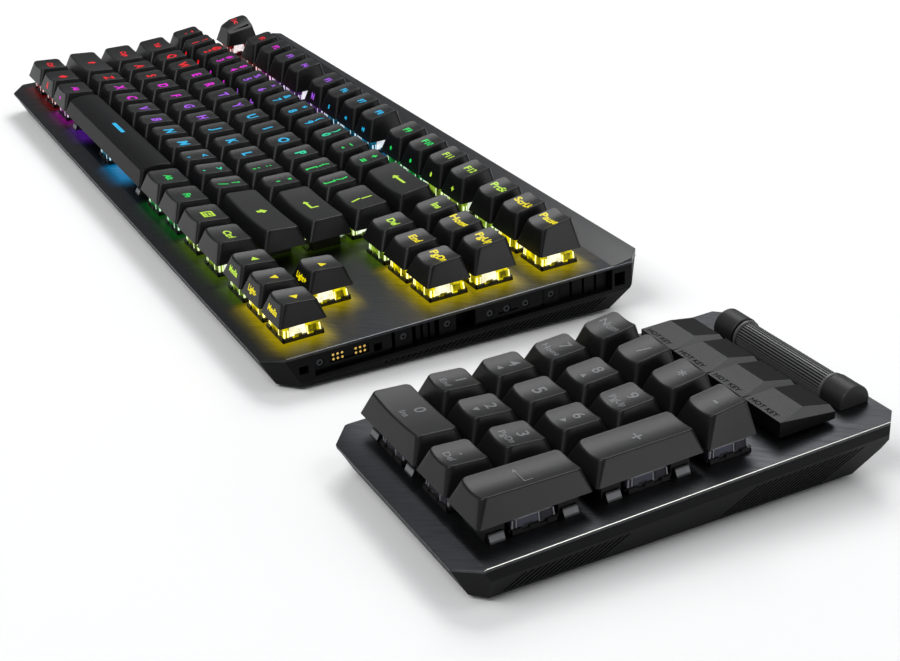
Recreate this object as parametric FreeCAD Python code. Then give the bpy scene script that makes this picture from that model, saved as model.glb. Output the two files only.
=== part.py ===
import FreeCAD, Part

import math
import os

from FreeCAD import Placement, Rotation, Vector

# Mechanical keyboard of 87 keys with a detachable 17-key number pad, in millimetres.
# Everything is modelled in the deck frame: X to the right from the left edge of the key
# field, Y to the rear from the front edge of the bottom key row, Z up from the top of the
# deck plate. place_on_table() tilts it by the typing angle and stands it on the table.

# Key layout
key_pitch = 19.05
function_row_gap = 8.9
cluster_gap_units = 0.25
cap_gap = 0.95

# Decks
typing_angle = 3.0
plate_thickness = 1.2
plate_front_margin = 9.0
plate_rear_y = 143.7
apron_bend_y = -1.5
apron_drop = 1.5
main_left_margin = 6.0
main_right_margin = 9.3
pad_left_margin = 5.2
pad_right_margin = 7.8
corner_cut = 6.6
corner_cut_rear = 4.95
corner_undercut = 0.5
plate_overhang = 0.3
pad_gap_at_rest = 49.8
pad_gap_docked = 0.4

# Cases
case_depth_front = 12.3
case_wall = 2.0
case_floor = 2.0
front_wall_run = 4.8
rear_lip = 1.0
rear_knee_run = 4.5
rear_knee_depth = 10.6
rear_foot_run = 12.0
side_knee_depth = 4.6
side_lean = 22.5
dock_knee_depth = 10.7
hatch_pitch = 2.3
hatch_width = 1.0
hatch_depth = 0.6
hatch_lean = 1.0
pcb_thickness = 1.6
pcb_margin = 0.6
pcb_rear_y = 135.5
# Chips under a board: place from its left edge, front edge, side and height
chips = ((26.0, 60.0, 10.0, 1.0), (44.0, 62.0, 6.0, 0.9))

# Key caps
cap_skirt_height = 6.3
cap_wall = 1.3
cap_roof = 1.5
cap_side_inset = 2.8
cap_front_inset = 3.3
cap_rear_inset = 1.9
cap_bottom_radius = 1.0
cap_top_radius = 1.9
cap_dish = 0.9
bar_crown = 1.1
row_front_heights = (14.2, 14.3, 13.6, 13.7, 15.5, 16.0)
row_rear_heights = (13.1, 13.1, 13.4, 14.4, 17.0, 18.0)
key_travel = 4.0

# Switches
switch_hole = 14.0
switch_clearance = 0.1
switch_depth = 5.0
base_wall = 1.4
base_floor = 1.2
flange_size = 15.6
flange_height = 1.0
cover_foot = 14.6
cover_head_width = 11.8
cover_head_depth = 10.8
cover_height = 5.8
cover_wall = 1.0
cover_corner_cut = 0.5
cover_inner_cut = 0.3
shaft_width = 7.0
shaft_depth = 6.2
stem_clearance = 0.35
stem_bottom_gap = 0.6
stem_top = 6.5
cross_length = 4.0
cross_thickness = 1.15
cross_height = 3.4
cross_clearance = 0.08
boss_diameter = 5.4
boss_gap = 0.3

# Stabilisers under the long keys
stabilizer_offset = 11.9
bar_stabilizer_offset = 50.0
stabilizer_width = 6.6
stabilizer_length = 12.0
stabilizer_height = 4.6
stabilizer_tab = 2.2
stabilizer_tab_top = 0.9
stabilizer_tab_drop = 2.2
stabilizer_tab_inset = 0.9
stabilizer_under_inset = 0.3
stabilizer_floor = 0.8
stabilizer_hole_width = 4.2
stabilizer_hole_depth = 5.2
stabilizer_stem_top = 8.7
stabilizer_cross_height = 2.2
wire_diameter = 1.6
wire_height = 1.2
wire_bar_y = 8.9
wire_reach = 2.7
wire_clearance = 0.15

# Trim along the rear edge of the main deck
trim_wide_y = 130.0
trim_narrow_y = 137.2
trim_crease_y = 138.4
trim_crease_height = 1.6
trim_height = 2.3
trim_step_x = 112.0
trim_step_run = 14.0

# Dock bay in the right side of the main unit
bay_front_y = 8.2
bay_rear_y = 130.0
bay_depth = 6.5
bay_floor_depth = 9.4
panel_recess = 2.0
contact_block_length = 30.0
guide_bar_front_y = 71.8
guide_bar_length = 28.2
dock_block_recess = 0.8
panel_ys = (40.0, 57.6, 101.0)
panel_length = 6.8
rib_spans = ((48.6, 57.2, 3), (108.4, 130.0, 4))
rib_step = 0.8
rib_gap = 1.0
window_depth = 0.7
window_front = 6.2
window_length = 15.0
window_height = 3.6
window_drop = 1.4
block_lip_height = 2.2
block_lip_depth = 1.2
block_top_gap = 0.2
block_end_gap = 0.1
guide_step_height = 2.0
guide_groove_front = 9.4
guide_groove_rear = 10.6
guide_groove_drop = 4.4
guide_groove_height = 0.8
guide_groove_depth = 0.6
contact_diameter = 0.9
contact_pitch = 1.7
contact_height = 0.4
peg_front_y = 4.2
peg_rear_y = 133.3
peg_front_width = 2.6
peg_front_height = 2.2
peg_rear_width = 3.8
peg_rear_height = 4.6
peg_drop = 5.9
peg_depth = 6.4
peg_clearance = 0.4
peg_length = 5.0
tongue_y = 32.8
tongue_width = 2.4
tongue_height = 2.8

# Number pad controls
hot_key_count = 4
hot_key_pitch = 18.2
hot_key_gap = 0.6
hot_key_front_y = 103.0
hot_key_depth = 21.2
hot_key_bottom = 1.5
hot_key_front_height = 7.0
hot_key_rear_height = 5.3
hot_key_ridge_run = 11.6
hot_key_facet = 4.0
hot_key_corner_height = 4.2
hot_key_travel = 1.0
hot_post_diameter = 4.0
hot_post_clearance = 0.4
tact_switch_size = 6.0
tact_switch_gap = 0.3
roller_y = 135.5
roller_z = 1.4
roller_radius = 4.9
roller_length = 44.0
roller_ribs = 44
roller_rib_depth = 0.35
roller_ring_radius = 5.5
roller_ring_width = 1.2
roller_clearance = 0.45
mount_radius = 5.8
mount_length = 9.5
axle_diameter = 2.4
axle_clearance = 0.05
axle_reach = 5.7
axle_bore_reach = 6.65

# Underside
foot_height = 1.5
foot_recess = 0.6
foot_length = 38.0
foot_depth = 9.0
foot_clearance = 0.1
foot_front_y = 3.0
foot_rear_y = 106.0
foot_inset_x = 46.0
leg_width = 24.0
leg_length = 16.0
leg_thickness = 3.4
leg_pocket_gap = 0.5
leg_sink = 0.3
leg_rear_y = 118.0
leg_inset_x = 46.0
finger_notch_width = 12.0
finger_notch_length = 5.0
finger_notch_depth = 2.4
leg_pin_diameter = 2.6
leg_pin_length = 1.6
leg_relief_rim = 4.0
leg_relief_rear = 3.0
leg_relief_skin = 0.4

# Fasteners, battery, ports
screw_diameter = 2.5
screw_head_diameter = 4.8
screw_head_height = 1.6
screw_head_sink = 0.6
screw_tip_gap = 0.4
screw_hole_clearance = 0.1
screw_slot_length = 2.4
screw_slot_width = 0.6
screw_slot_depth = 0.7
boss_wall = 1.4
front_screw_y = -0.8
rear_screw_y = 126.5
middle_screw_x = 120.0
screw_inset_x = 18.0
bay_screw_diameter = 2.6
bay_screw_head = 1.0
bay_screw_sink = 0.3
bay_screw_drop = 5.2
block_screw_ys = (10.6, 77.8, 84.8, 92.8)
battery_x = 90.0
battery_y = 62.0
battery_length = 96.0
battery_width = 46.0
battery_height = 5.0
port_width = 8.9
port_height = 3.2
port_length = 7.3
port_x = 150.0
port_wall = 0.3
port_clearance = 0.2
port_tongue_width = 6.4
port_tongue_height = 0.7
knob_width = 3.0
knob_height = 1.6
knob_travel = 2.5
knob_proud = 0.6
knob_foot_front = 5.4
knob_foot_rear = 4.2
knob_foot_height = 2.4
knob_clearance = 0.4
mode_body_front = 9.5
mode_body_rear = 5.7
mode_body_side = 1.2
mode_body_head = 1.4
knob_x = 185.0

side_hatch_spans = ((9.0, 45.0), (88.0, 130.0))
dock_hatch_span = (34.0, 128.0)
reach = 1000.0
tilt = math.radians(typing_angle)
main_width_units = 18.25
pad_width_units = 4.0
peg_sizes = ((peg_front_y, peg_front_width, peg_front_height), (peg_rear_y, peg_rear_width, peg_rear_height))
main_left = -main_left_margin
main_right = main_width_units * key_pitch + main_right_margin
pad_left = -pad_left_margin
pad_right = pad_width_units * key_pitch + pad_right_margin
pad_x = main_right + pad_gap_at_rest + pad_left_margin
dock_travel = pad_gap_at_rest - pad_gap_docked
function_row = 5
pcb_top = -switch_depth


def box(x0, x1, y0, y1, z0, z1):
    return Part.makeBox(x1 - x0, y1 - y0, z1 - z0, Vector(x0, y0, z0))


def cylinder(radius, start, direction, length):
    return Part.makeCylinder(radius, length, start, direction)


def half_space(point, normal):
    """Large block on the side of the plane that the normal points to."""
    block = Part.makeBox(2 * reach, 2 * reach, 2 * reach, Vector(-reach, -reach, 0))
    block.Placement = Placement(point, Rotation(Vector(0, 0, 1), normal))
    return block


def prism_along_x(points_yz, x0, x1):
    """Solid with the given outline in the YZ plane, from x0 to x1."""
    outline = [Vector(x0, y, z) for y, z in points_yz]
    face = Part.Face(Part.makePolygon(outline + outline[:1]))
    return face.extrude(Vector(x1 - x0, 0, 0))


def moved(shape, x=0.0, y=0.0, z=0.0):
    copy = shape.copy()
    copy.translate(Vector(x, y, z))
    return copy


def rows_y(row):
    """Front edge of a key row; the function row stands apart from the number row."""
    gap = function_row_gap if row == function_row else 0.0
    return row * key_pitch + gap


def case_bottom(y):
    return -(case_depth_front + y * math.tan(tilt))


def rear_wall_y(z):
    """The case's rear wall at a height between the plate and the wall's knee."""
    top = plate_rear_y - rear_lip
    return top - rear_knee_run * (-z - plate_thickness) / (rear_knee_depth - plate_thickness)


def on_case_floor(shape):
    """Takes a shape drawn with z = 0 on the case's flat bottom into the deck frame."""
    level = Placement(Vector(0, 0, -case_depth_front * math.cos(tilt)), Rotation())
    tilted = Placement(Vector(), Rotation(Vector(1, 0, 0), -typing_angle))
    copy = shape.copy()
    copy.Placement = tilted.multiply(level).multiply(copy.Placement)
    return copy


def place_on_table(shape):
    """Tilts a shape to the typing angle, feet on z = 0, the object centred in X and Y."""
    centre_x = (main_left + pad_x + pad_right) / 2
    level_depth = (plate_rear_y - plate_front_margin) * math.cos(tilt)
    centre_y = (level_depth + (apron_drop + plate_thickness) * math.sin(tilt)) / 2
    lift = foot_height + case_depth_front * math.cos(tilt)
    stand = Placement(Vector(-centre_x, -centre_y, lift), Rotation(Vector(1, 0, 0), typing_angle))
    copy = shape.copy()
    copy.Placement = stand.multiply(copy.Placement)
    return copy


def write_node(name, shapes):
    solids = [place_on_table(shape) for shape in shapes]
    whole = solids[0] if len(solids) == 1 else Part.makeCompound(solids)
    whole.exportStep("parts/" + name + ".step")


# Key groups: every key is (x in units, row, width in units, rows deep)

def key_run(start, row, widths):
    keys = []
    x = start
    for width in widths:
        keys.append((x, row, width, 1))
        x += width
    return keys


navigation_start = 15 + cluster_gap_units
main_keys = {
    "esc_key": key_run(0, 5, [1]),
    "f1_f4_keys": key_run(2, 5, [1] * 4),
    "f5_f8_keys": key_run(6.5, 5, [1] * 4),
    "f9_f12_keys": key_run(11, 5, [1] * 4),
    "print_cluster_keys": key_run(navigation_start, 5, [1] * 3),
    "number_keys": key_run(0, 4, [1] * 13),
    "backspace_key": key_run(13, 4, [2]),
    "tab_key": key_run(0, 3, [1.5]),
    "upper_letter_keys": key_run(1.5, 3, [1] * 12),
    "backslash_key": key_run(13.5, 3, [1.5]),
    "caps_lock_key": key_run(0, 2, [1.75]),
    "home_letter_keys": key_run(1.75, 2, [1] * 11),
    "enter_key": key_run(12.75, 2, [2.25]),
    "left_shift_key": key_run(0, 1, [2.25]),
    "lower_letter_keys": key_run(2.25, 1, [1] * 10),
    "right_shift_key": key_run(12.25, 1, [2.75]),
    "left_modifier_keys": key_run(0, 0, [1.25] * 3),
    "space_bar": key_run(3.75, 0, [6.25]),
    "right_modifier_keys": key_run(10, 0, [1.25] * 4),
    "navigation_keys": key_run(navigation_start, 4, [1] * 3) + key_run(navigation_start, 3, [1] * 3),
    "arrow_keys": key_run(navigation_start, 0, [1] * 3) + key_run(navigation_start + 1, 1, [1]),
}
pad_keys = {
    "pad_digit_keys": key_run(0, 1, [1] * 3) + key_run(0, 2, [1] * 3) + key_run(0, 3, [1] * 3),
    "pad_zero_key": key_run(0, 0, [2]),
    "pad_decimal_key": key_run(2, 0, [1]),
    "pad_enter_key": [(3, 0, 1, 2)],
    "pad_plus_key": [(3, 2, 1, 2)],
    "pad_operator_keys": key_run(0, 4, [1] * 4),
}


def key_centre(key):
    x, row, width, rows = key
    return Vector((x + width / 2) * key_pitch, rows_y(row) + rows * key_pitch / 2, 0)


def stabilizer_axis(key):
    """Direction and offset of a long key's two stabilisers, or None for a short key."""
    width, rows = key[2], key[3]
    if rows > 1:
        return Vector(0, 1, 0), stabilizer_offset
    if width > 3:
        return Vector(1, 0, 0), bar_stabilizer_offset
    if width >= 2:
        return Vector(1, 0, 0), stabilizer_offset
    return None


# Key caps and switch stems

def rounded_outline(width, depth, radius, placement):
    """Rounded rectangle centred on the placement's origin, as one closed wire."""
    half_x = width / 2
    half_y = depth / 2
    bulge = radius * (1 - math.sqrt(0.5))
    edges = []
    last = Vector(half_x, -half_y + radius, 0)
    for sx, sy in ((1, 1), (-1, 1), (-1, -1), (1, -1)):
        on_side = Vector(sx * half_x, sy * (half_y - radius), 0)
        on_end = Vector(sx * (half_x - radius), sy * half_y, 0)
        start, end = (on_side, on_end) if sx == sy else (on_end, on_side)
        middle = Vector(sx * (half_x - bulge), sy * (half_y - bulge), 0)
        edges.append(Part.LineSegment(last, start).toShape())
        edges.append(Part.Arc(start, middle, end).toShape())
        last = end
    wire = Part.Wire(edges)
    wire.Placement = placement
    return wire


def cap_body(width, depth, front_height, rear_height, wall, roof):
    """Tapered block of a key cap, or with a wall and a roof the hollow inside it."""
    mean_height = (front_height + rear_height) / 2
    taper = (mean_height - roof - cap_skirt_height) / (mean_height - cap_skirt_height)
    bottom_width = width - cap_gap - 2 * wall
    bottom_depth = depth - cap_gap - 2 * wall
    top_width = bottom_width - 2 * cap_side_inset * taper
    top_depth = bottom_depth - (cap_front_inset + cap_rear_inset) * taper
    shift = (cap_front_inset - cap_rear_inset) / 2 * taper
    slope = math.degrees(math.atan2(rear_height - front_height, top_depth))
    low = Placement(Vector(0, 0, cap_skirt_height), Rotation())
    high = Placement(Vector(0, shift, mean_height - roof), Rotation(Vector(1, 0, 0), slope))
    bottom = rounded_outline(bottom_width, bottom_depth, cap_bottom_radius, low)
    top = rounded_outline(top_width, top_depth, cap_top_radius, high)
    return Part.makeLoft([bottom, top], True, True)


def top_cylinder(radius, depth, front_height, rear_height, offset):
    """Cylinder along a cap's sloping top, its axis that far above the top's middle."""
    shift = (cap_front_inset - cap_rear_inset) / 2
    run = depth - cap_gap - cap_front_inset - cap_rear_inset
    along = Vector(0, run, rear_height - front_height).normalize()
    normal = Vector(0, -along.z, along.y)
    middle = Vector(0, shift, (front_height + rear_height) / 2) + normal * offset
    return cylinder(radius, middle - along * (2 * depth), along, 4 * depth)


def cross(bottom, height, clearance):
    """The cross-shaped top of a stem, or the socket for it with a clearance."""
    long_half = cross_length / 2 + clearance
    thin_half = cross_thickness / 2 + clearance
    top = bottom + height + clearance
    one = box(-long_half, long_half, -thin_half, thin_half, bottom, top)
    other = box(-thin_half, thin_half, -long_half, long_half, bottom, top)
    return one.fuse(other).removeSplitter()


def cap_socket(stem_end, cross_run, roof_height):
    """Round boss under a cap's roof with the socket for a stem's cross."""
    bottom = stem_end + boss_gap
    boss = cylinder(boss_diameter / 2, Vector(0, 0, bottom), Vector(0, 0, 1), roof_height - bottom)
    return boss.cut(cross(stem_end, cross_run, cross_clearance))


def esc_facets(width, depth, front_height, rear_height):
    """Two slanting cuts that give the corner key its faceted top."""
    half = (width - cap_gap) / 2 - cap_side_inset
    front = -(depth - cap_gap) / 2 + cap_front_inset
    wedge = half_space(Vector(half * 0.1, front, front_height), Vector(0.5, -0.12, 1))
    nose = half_space(Vector(0, front + 2.6, front_height + 0.2), Vector(-0.1, -0.55, 1))
    return [wedge, nose]


def key_cap(key):
    """Hollow cap centred on its switch, with sockets for its stem and stabilisers."""
    row = key[1]
    width = key[2] * key_pitch
    depth = key[3] * key_pitch
    front_height = row_front_heights[row]
    rear_height = row_rear_heights[row]
    mean_height = (front_height + rear_height) / 2
    is_bar = key[2] > 3
    chord = width - cap_gap - 2 * cap_side_inset
    if is_bar:
        crown_run = depth - cap_gap - cap_front_inset - cap_rear_inset
        crown_radius = crown_run ** 2 / (8 * bar_crown) + bar_crown / 2
        shift = (cap_front_inset - cap_rear_inset) / 2
        outer = cap_body(width, depth, mean_height, mean_height, 0, 0)
        start = Vector(-width, shift, mean_height - crown_radius)
        outer = outer.common(cylinder(crown_radius, start, Vector(1, 0, 0), 2 * width))
        hollow = cap_body(width, depth, mean_height, mean_height, cap_wall, cap_roof + bar_crown)
    else:
        outer = cap_body(width, depth, front_height, rear_height, 0, 0)
        if row == function_row and key[0] == 0:
            outer = outer.cut(esc_facets(width, depth, front_height, rear_height))
        else:
            radius = chord ** 2 / (8 * cap_dish) + cap_dish / 2
            dish = top_cylinder(radius, depth, front_height, rear_height, radius - cap_dish)
            outer = outer.cut(dish)
        hollow = cap_body(width, depth, front_height, rear_height, cap_wall, cap_roof + cap_dish)
    roof = mean_height - cap_roof
    sockets = [cap_socket(stem_top, cross_height, roof)]
    if stabilizer_axis(key):
        axis, offset = stabilizer_axis(key)
        socket = cap_socket(stabilizer_stem_top, stabilizer_cross_height, roof)
        for side in (-1, 1):
            sockets.append(moved(socket, side * offset * axis.x, side * offset * axis.y))
    return outer.cut(hollow).fuse(sockets)


def switch_stem():
    half_x = shaft_width / 2 - stem_clearance
    half_y = shaft_depth / 2 - stem_clearance
    slider = box(-half_x, half_x, -half_y, half_y, flange_height + stem_bottom_gap, stem_top)
    return slider.fuse(cross(stem_top, cross_height, 0)).removeSplitter()


def stabilizer_slider(turned):
    half_x = stabilizer_hole_width / 2 - stem_clearance
    half_y = stabilizer_hole_depth / 2 - stem_clearance
    if turned:
        half_x, half_y = half_y, half_x
    slider = box(-half_x, half_x, -half_y, half_y, stem_bottom_gap, stabilizer_stem_top)
    return slider.fuse(cross(stabilizer_stem_top, stabilizer_cross_height, 0)).removeSplitter()


def key_solids(key, caps):
    """The cap, the switch stem and any stabiliser sliders of one key, in place."""
    shape_of = (key[1], key[2], key[3], key[0] == 0 and key[1] == function_row)
    if shape_of not in caps:
        caps[shape_of] = key_cap(key)
    centre = key_centre(key)
    solids = [moved(caps[shape_of], centre.x, centre.y)]
    solids.append(moved(switch_stem(), centre.x, centre.y))
    if stabilizer_axis(key):
        axis, offset = stabilizer_axis(key)
        for side in (-1, 1):
            slider = stabilizer_slider(axis.y > 0)
            place = centre + axis * (side * offset)
            solids.append(moved(slider, place.x, place.y))
    return solids


# Switch housings and stabilisers


def switch_base():
    """Black lower housing: hangs in the plate's hole, its flange on the plate."""
    half = switch_hole / 2 - switch_clearance
    flange = flange_size / 2
    body = box(-half, half, -half, half, -switch_depth, 0)
    rim = box(-flange, flange, -flange, flange, 0, flange_height)
    inside = half - base_wall
    hollow = box(-inside, inside, -inside, inside, -switch_depth + base_floor, flange_height)
    return body.fuse(rim).removeSplitter().cut(hollow)


def tapered_block(foot, head_width, head_depth, corner, low, high):
    """Block on a square foot with four leaning sides and its corners cut off."""
    half = foot / 2
    rise = high - low
    lean_x = half - head_width / 2
    lean_y = half - head_depth / 2
    cutters = []
    for side in (-1, 1):
        cutters.append(half_space(Vector(side * half, 0, low), Vector(side * rise, 0, lean_x)))
        cutters.append(half_space(Vector(0, side * half, low), Vector(0, side * rise, lean_y)))
        for end in (-1, 1):
            on_corner = Vector(side * (half - corner), end * half, low)
            cutters.append(half_space(on_corner, Vector(side * rise, end * rise, lean_x + lean_y)))
    return box(-half, half, -half, half, low, high).cut(cutters)


def switch_cover():
    """Clear upper housing: a hollow taper with an opening for the stem."""
    outer = tapered_block(cover_foot, cover_head_width, cover_head_depth, cover_corner_cut,
                          flange_height, cover_height)
    thin = 2 * cover_wall
    inner = tapered_block(cover_foot - thin, cover_head_width - thin, cover_head_depth - thin,
                          cover_inner_cut, flange_height, cover_height - cover_wall)
    shaft = box(-shaft_width / 2, shaft_width / 2, -shaft_depth / 2, shaft_depth / 2, 0, cover_height + 1)
    return outer.cut(inner).cut(shaft)


def stabilizer_housing(outward):
    """Block in the plate with a slanted tab on its outward side and a wire hole behind."""
    half_x = stabilizer_width / 2
    half_y = stabilizer_length / 2
    above = box(-half_x, half_x, -half_y, half_y, 0, stabilizer_height)
    under_x = half_x - stabilizer_under_inset
    under_y = half_y - stabilizer_under_inset
    under = box(-under_x, under_x, -under_y, under_y, -switch_depth, 0)
    tab_z = stabilizer_height - stabilizer_tab_drop
    tab_points = [
        (-half_y, 0), (-half_y, tab_z),
        (-half_y - stabilizer_tab_top, tab_z), (-half_y - stabilizer_tab, 0),
    ]
    tab = prism_along_x(tab_points, -half_x + stabilizer_tab_inset, half_x - stabilizer_tab_inset)
    hole = box(-stabilizer_hole_width / 2, stabilizer_hole_width / 2,
               -stabilizer_hole_depth / 2, stabilizer_hole_depth / 2,
               -switch_depth + stabilizer_floor, stabilizer_height)
    hole_end = stabilizer_hole_depth / 2 - 0.5
    arm_hole = cylinder(wire_diameter / 2 + wire_clearance, Vector(0, hole_end, wire_height), Vector(0, 1, 0),
                        half_y)
    block = above.fuse([under, tab]).removeSplitter().cut(hole).cut(arm_hole)
    block.Placement = Placement(Vector(), Rotation(Vector(0, -1, 0), outward))
    return block


def stabilizer_wire(offset):
    """Steel wire of one long key, along X, its arms reaching forward into the housings."""
    radius = wire_diameter / 2
    bar = cylinder(radius, Vector(-offset - radius, wire_bar_y, wire_height), Vector(1, 0, 0),
                   2 * offset + wire_diameter)
    arms = []
    for side in (-1, 1):
        start = Vector(side * offset, wire_reach, wire_height)
        arms.append(cylinder(radius, start, Vector(0, 1, 0), wire_bar_y - wire_reach))
    return bar.fuse(arms)


def stabilizer_parts(keys):
    """Housings and wires for every long key in the list."""
    housings = []
    wires = []
    for key in keys:
        if not stabilizer_axis(key):
            continue
        axis, offset = stabilizer_axis(key)
        centre = key_centre(key)
        outward = Vector(axis.y, -axis.x, 0)
        for side in (-1, 1):
            place = centre + axis * (side * offset)
            housings.append(moved(stabilizer_housing(outward), place.x, place.y))
        wire = stabilizer_wire(offset)
        wire.Placement = Placement(centre, Rotation(Vector(1, 0, 0), axis))
        wires.append(wire)
    return housings, wires


# Deck plates

def apron_z(y):
    """Height of the deck's top surface; it bends down in front of the keys."""
    if y >= apron_bend_y:
        return 0.0
    return -apron_drop * (apron_bend_y - y) / (plate_front_margin + apron_bend_y)


def corner_cutters(left, right, front, rear, inset):
    """Half-spaces that cut the four corners in plan and slope inwards as they go down."""
    cutters = []
    for x, sx in ((left, -1), (right, 1)):
        for y, sy, cut in ((front, -1, corner_cut), (rear, 1, corner_cut_rear)):
            normal = Vector(sx, sy, -corner_undercut if sy < 0 else 0)
            on_side = Vector(x, y - sy * cut, apron_z(front) / 2)
            cutters.append(half_space(on_side - normal.normalize() * inset, normal))
    return cutters


def switch_openings(keys):
    half = switch_hole / 2
    holes = []
    for key in keys:
        centre = key_centre(key)
        holes.append(moved(box(-half, half, -half, half, -plate_thickness - 1, 1), centre.x, centre.y))
        if stabilizer_axis(key):
            axis, offset = stabilizer_axis(key)
            half_x = stabilizer_width / 2 - switch_clearance
            half_y = stabilizer_length / 2 - switch_clearance
            if axis.y > 0:
                half_x, half_y = half_y, half_x
            for side in (-1, 1):
                place = centre + axis * (side * offset)
                hole = box(-half_x, half_x, -half_y, half_y, -plate_thickness - 1, 1)
                holes.append(moved(hole, place.x, place.y))
    return holes


def deck_plate(left, right, holes):
    """Brushed plate with a bent front apron, cut corners and its openings."""
    front = -plate_front_margin
    outline = [
        (plate_rear_y, 0), (apron_bend_y, 0), (front, apron_z(front)),
        (front, apron_z(front) - plate_thickness), (apron_bend_y, -plate_thickness),
        (plate_rear_y, -plate_thickness),
    ]
    plate = prism_along_x(outline, left, right)
    for cutter in corner_cutters(left, right, front, plate_rear_y, 0.0):
        plate = plate.cut(cutter)
    return plate.cut(Part.makeCompound(holes))


def screw_places(left, right):
    columns = [left + screw_inset_x, right - screw_inset_x]
    if right - left > 2 * middle_screw_x:
        columns.insert(1, middle_screw_x)
    return [(x, y) for x in columns for y in (front_screw_y, rear_screw_y)]


# Cases

def case_profile(inset, floor, top):
    """Side outline of a case, or of its hollow when inset by the wall and the floor."""
    front = -plate_front_margin + plate_overhang + inset
    rear = plate_rear_y - rear_lip - inset
    foot_front = front + front_wall_run
    knee = rear - rear_knee_run
    foot_rear = rear - rear_foot_run
    outline = [(rear, top), (apron_bend_y, top)]
    if inset == 0:
        outline.append((front, apron_z(front) - plate_thickness))
    else:
        outline.append((front, top))
        outline.append((front, apron_z(front) - plate_thickness))
    outline += [
        (foot_front, case_bottom(foot_front) + floor),
        (foot_rear, case_bottom(foot_rear) + floor),
        (knee, -rear_knee_depth),
    ]
    return outline


def side_cutters(left, right, left_knee, right_knee, inset):
    """Half-spaces that draw the side walls inwards below their knees, where they have one."""
    lean = math.radians(side_lean)
    cutters = []
    for x, side, knee in ((left, -1, left_knee), (right, 1, right_knee)):
        if knee:
            normal = Vector(side * math.cos(lean), 0, -math.sin(lean))
            cutters.append(half_space(Vector(x, 0, -knee) - normal * inset, normal))
    return cutters


def hatch_cuts(x, side, spans, knee):
    """Slanting grooves in a side wall's lower band, in one or more spans along Y."""
    lean = math.radians(side_lean)
    normal = Vector(side * math.cos(lean), 0, -math.sin(lean))
    down = Vector(-side * math.sin(lean), 0, -math.cos(lean))
    margin = 1.5
    grooves = []
    for start, end in spans:
        count = int((end - start) / hatch_pitch)
        for index in range(count):
            y = start + (index + 0.5) * (end - start) / count
            length = (-case_bottom(y) - knee) / math.cos(lean) - 2 * margin
            top = Vector(x, y, -knee) + down * margin + normal
            bottom = top + down * length - Vector(0, hatch_lean * length, 0)
            across = Vector(0, hatch_width, 0)
            corners = [top, top + across, bottom + across, bottom]
            face = Part.Face(Part.makePolygon(corners + corners[:1]))
            grooves.append(face.extrude(normal * -(1 + hatch_depth)))
    return grooves


def case_shell(left, right, inner_right, left_knee, right_knee, bosses):
    """Open tray under a deck plate, its walls drawn in at the sides, with screw bosses."""
    top = -plate_thickness
    front = -plate_front_margin
    outer = prism_along_x(case_profile(0, 0, top), left, right)
    inner = prism_along_x(case_profile(case_wall, case_floor, top + 1), left + case_wall, inner_right)
    for cutter in corner_cutters(left, right, front, plate_rear_y, 0):
        outer = outer.cut(cutter)
    for cutter in corner_cutters(left, right, front, plate_rear_y, case_wall):
        inner = inner.cut(cutter)
    for cutter in side_cutters(left, right, left_knee, right_knee, 0):
        outer = outer.cut(cutter)
    for cutter in side_cutters(left, right, left_knee, right_knee, case_wall):
        inner = inner.cut(cutter)
    posts = []
    holes = []
    up = Vector(0, 0, 1)
    hole_radius = screw_diameter / 2 + screw_hole_clearance
    head_radius = screw_head_diameter / 2 + 2 * screw_hole_clearance
    for x, y in bosses:
        bottom = case_bottom(y)
        post = cylinder(screw_diameter / 2 + boss_wall, Vector(x, y, bottom - 1), up, top - bottom + 1)
        posts.append(post.common(outer))
        holes.append(cylinder(hole_radius, Vector(x, y, bottom - 1), up, top - bottom + 2))
        holes.append(cylinder(head_radius, Vector(x, y, bottom - 1), up,
                              1 + screw_head_height + screw_head_sink))
    return outer.cut(inner).fuse(posts).cut(Part.makeCompound(holes))


def case_screws(places):
    """Screws that hold a case to its plate, heads sunk in the underside."""
    screws = []
    slot_halves = (screw_slot_length / 2, screw_slot_width / 2)
    for x, y in places:
        seat = case_bottom(y) + screw_head_height + screw_head_sink
        head = cylinder(screw_head_diameter / 2, Vector(x, y, seat - screw_head_height), Vector(0, 0, 1),
                        screw_head_height)
        length = -plate_thickness - screw_tip_gap - seat
        shank = cylinder(screw_diameter / 2, Vector(x, y, seat), Vector(0, 0, 1), length)
        low = seat - screw_head_height
        slots = [box(x - half_x, x + half_x, y - half_y, y + half_y, low, low + screw_slot_depth)
                 for half_x, half_y in (slot_halves, slot_halves[::-1])]
        screws.append(head.fuse(shank).removeSplitter().cut(slots))
    return screws


def foot_pads(places):
    """Rubber feet, drawn level on the case bottom: the pads and the recesses for them."""
    pads = []
    recesses = []
    for x, y in places:
        half = foot_length / 2
        pad = box(x - half, x + half, y, y + foot_depth, -foot_height, foot_recess)
        gap = foot_clearance
        recess = box(x - half - gap, x + half + gap, y - gap, y + foot_depth + gap, -1, foot_recess)
        pads.append(on_case_floor(pad))
        recesses.append(on_case_floor(recess))
    return pads, recesses


def circuit_board(left, right, bosses):
    """Board under the switches, cut out around the screw bosses, and two chips below it."""
    bottom = pcb_top - pcb_thickness
    board = box(left, right, front_screw_y - 2, pcb_rear_y, bottom, pcb_top)
    for x, y in bosses:
        radius = screw_diameter / 2 + boss_wall + pcb_margin
        board = board.cut(cylinder(radius, Vector(x, y, bottom - 1), Vector(0, 0, 1), pcb_thickness + 2))
    blocks = [box(left + x, left + x + side, y, y + side, bottom - height, bottom)
              for x, y, side, height in chips]
    return [board] + blocks


# Main unit

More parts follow.
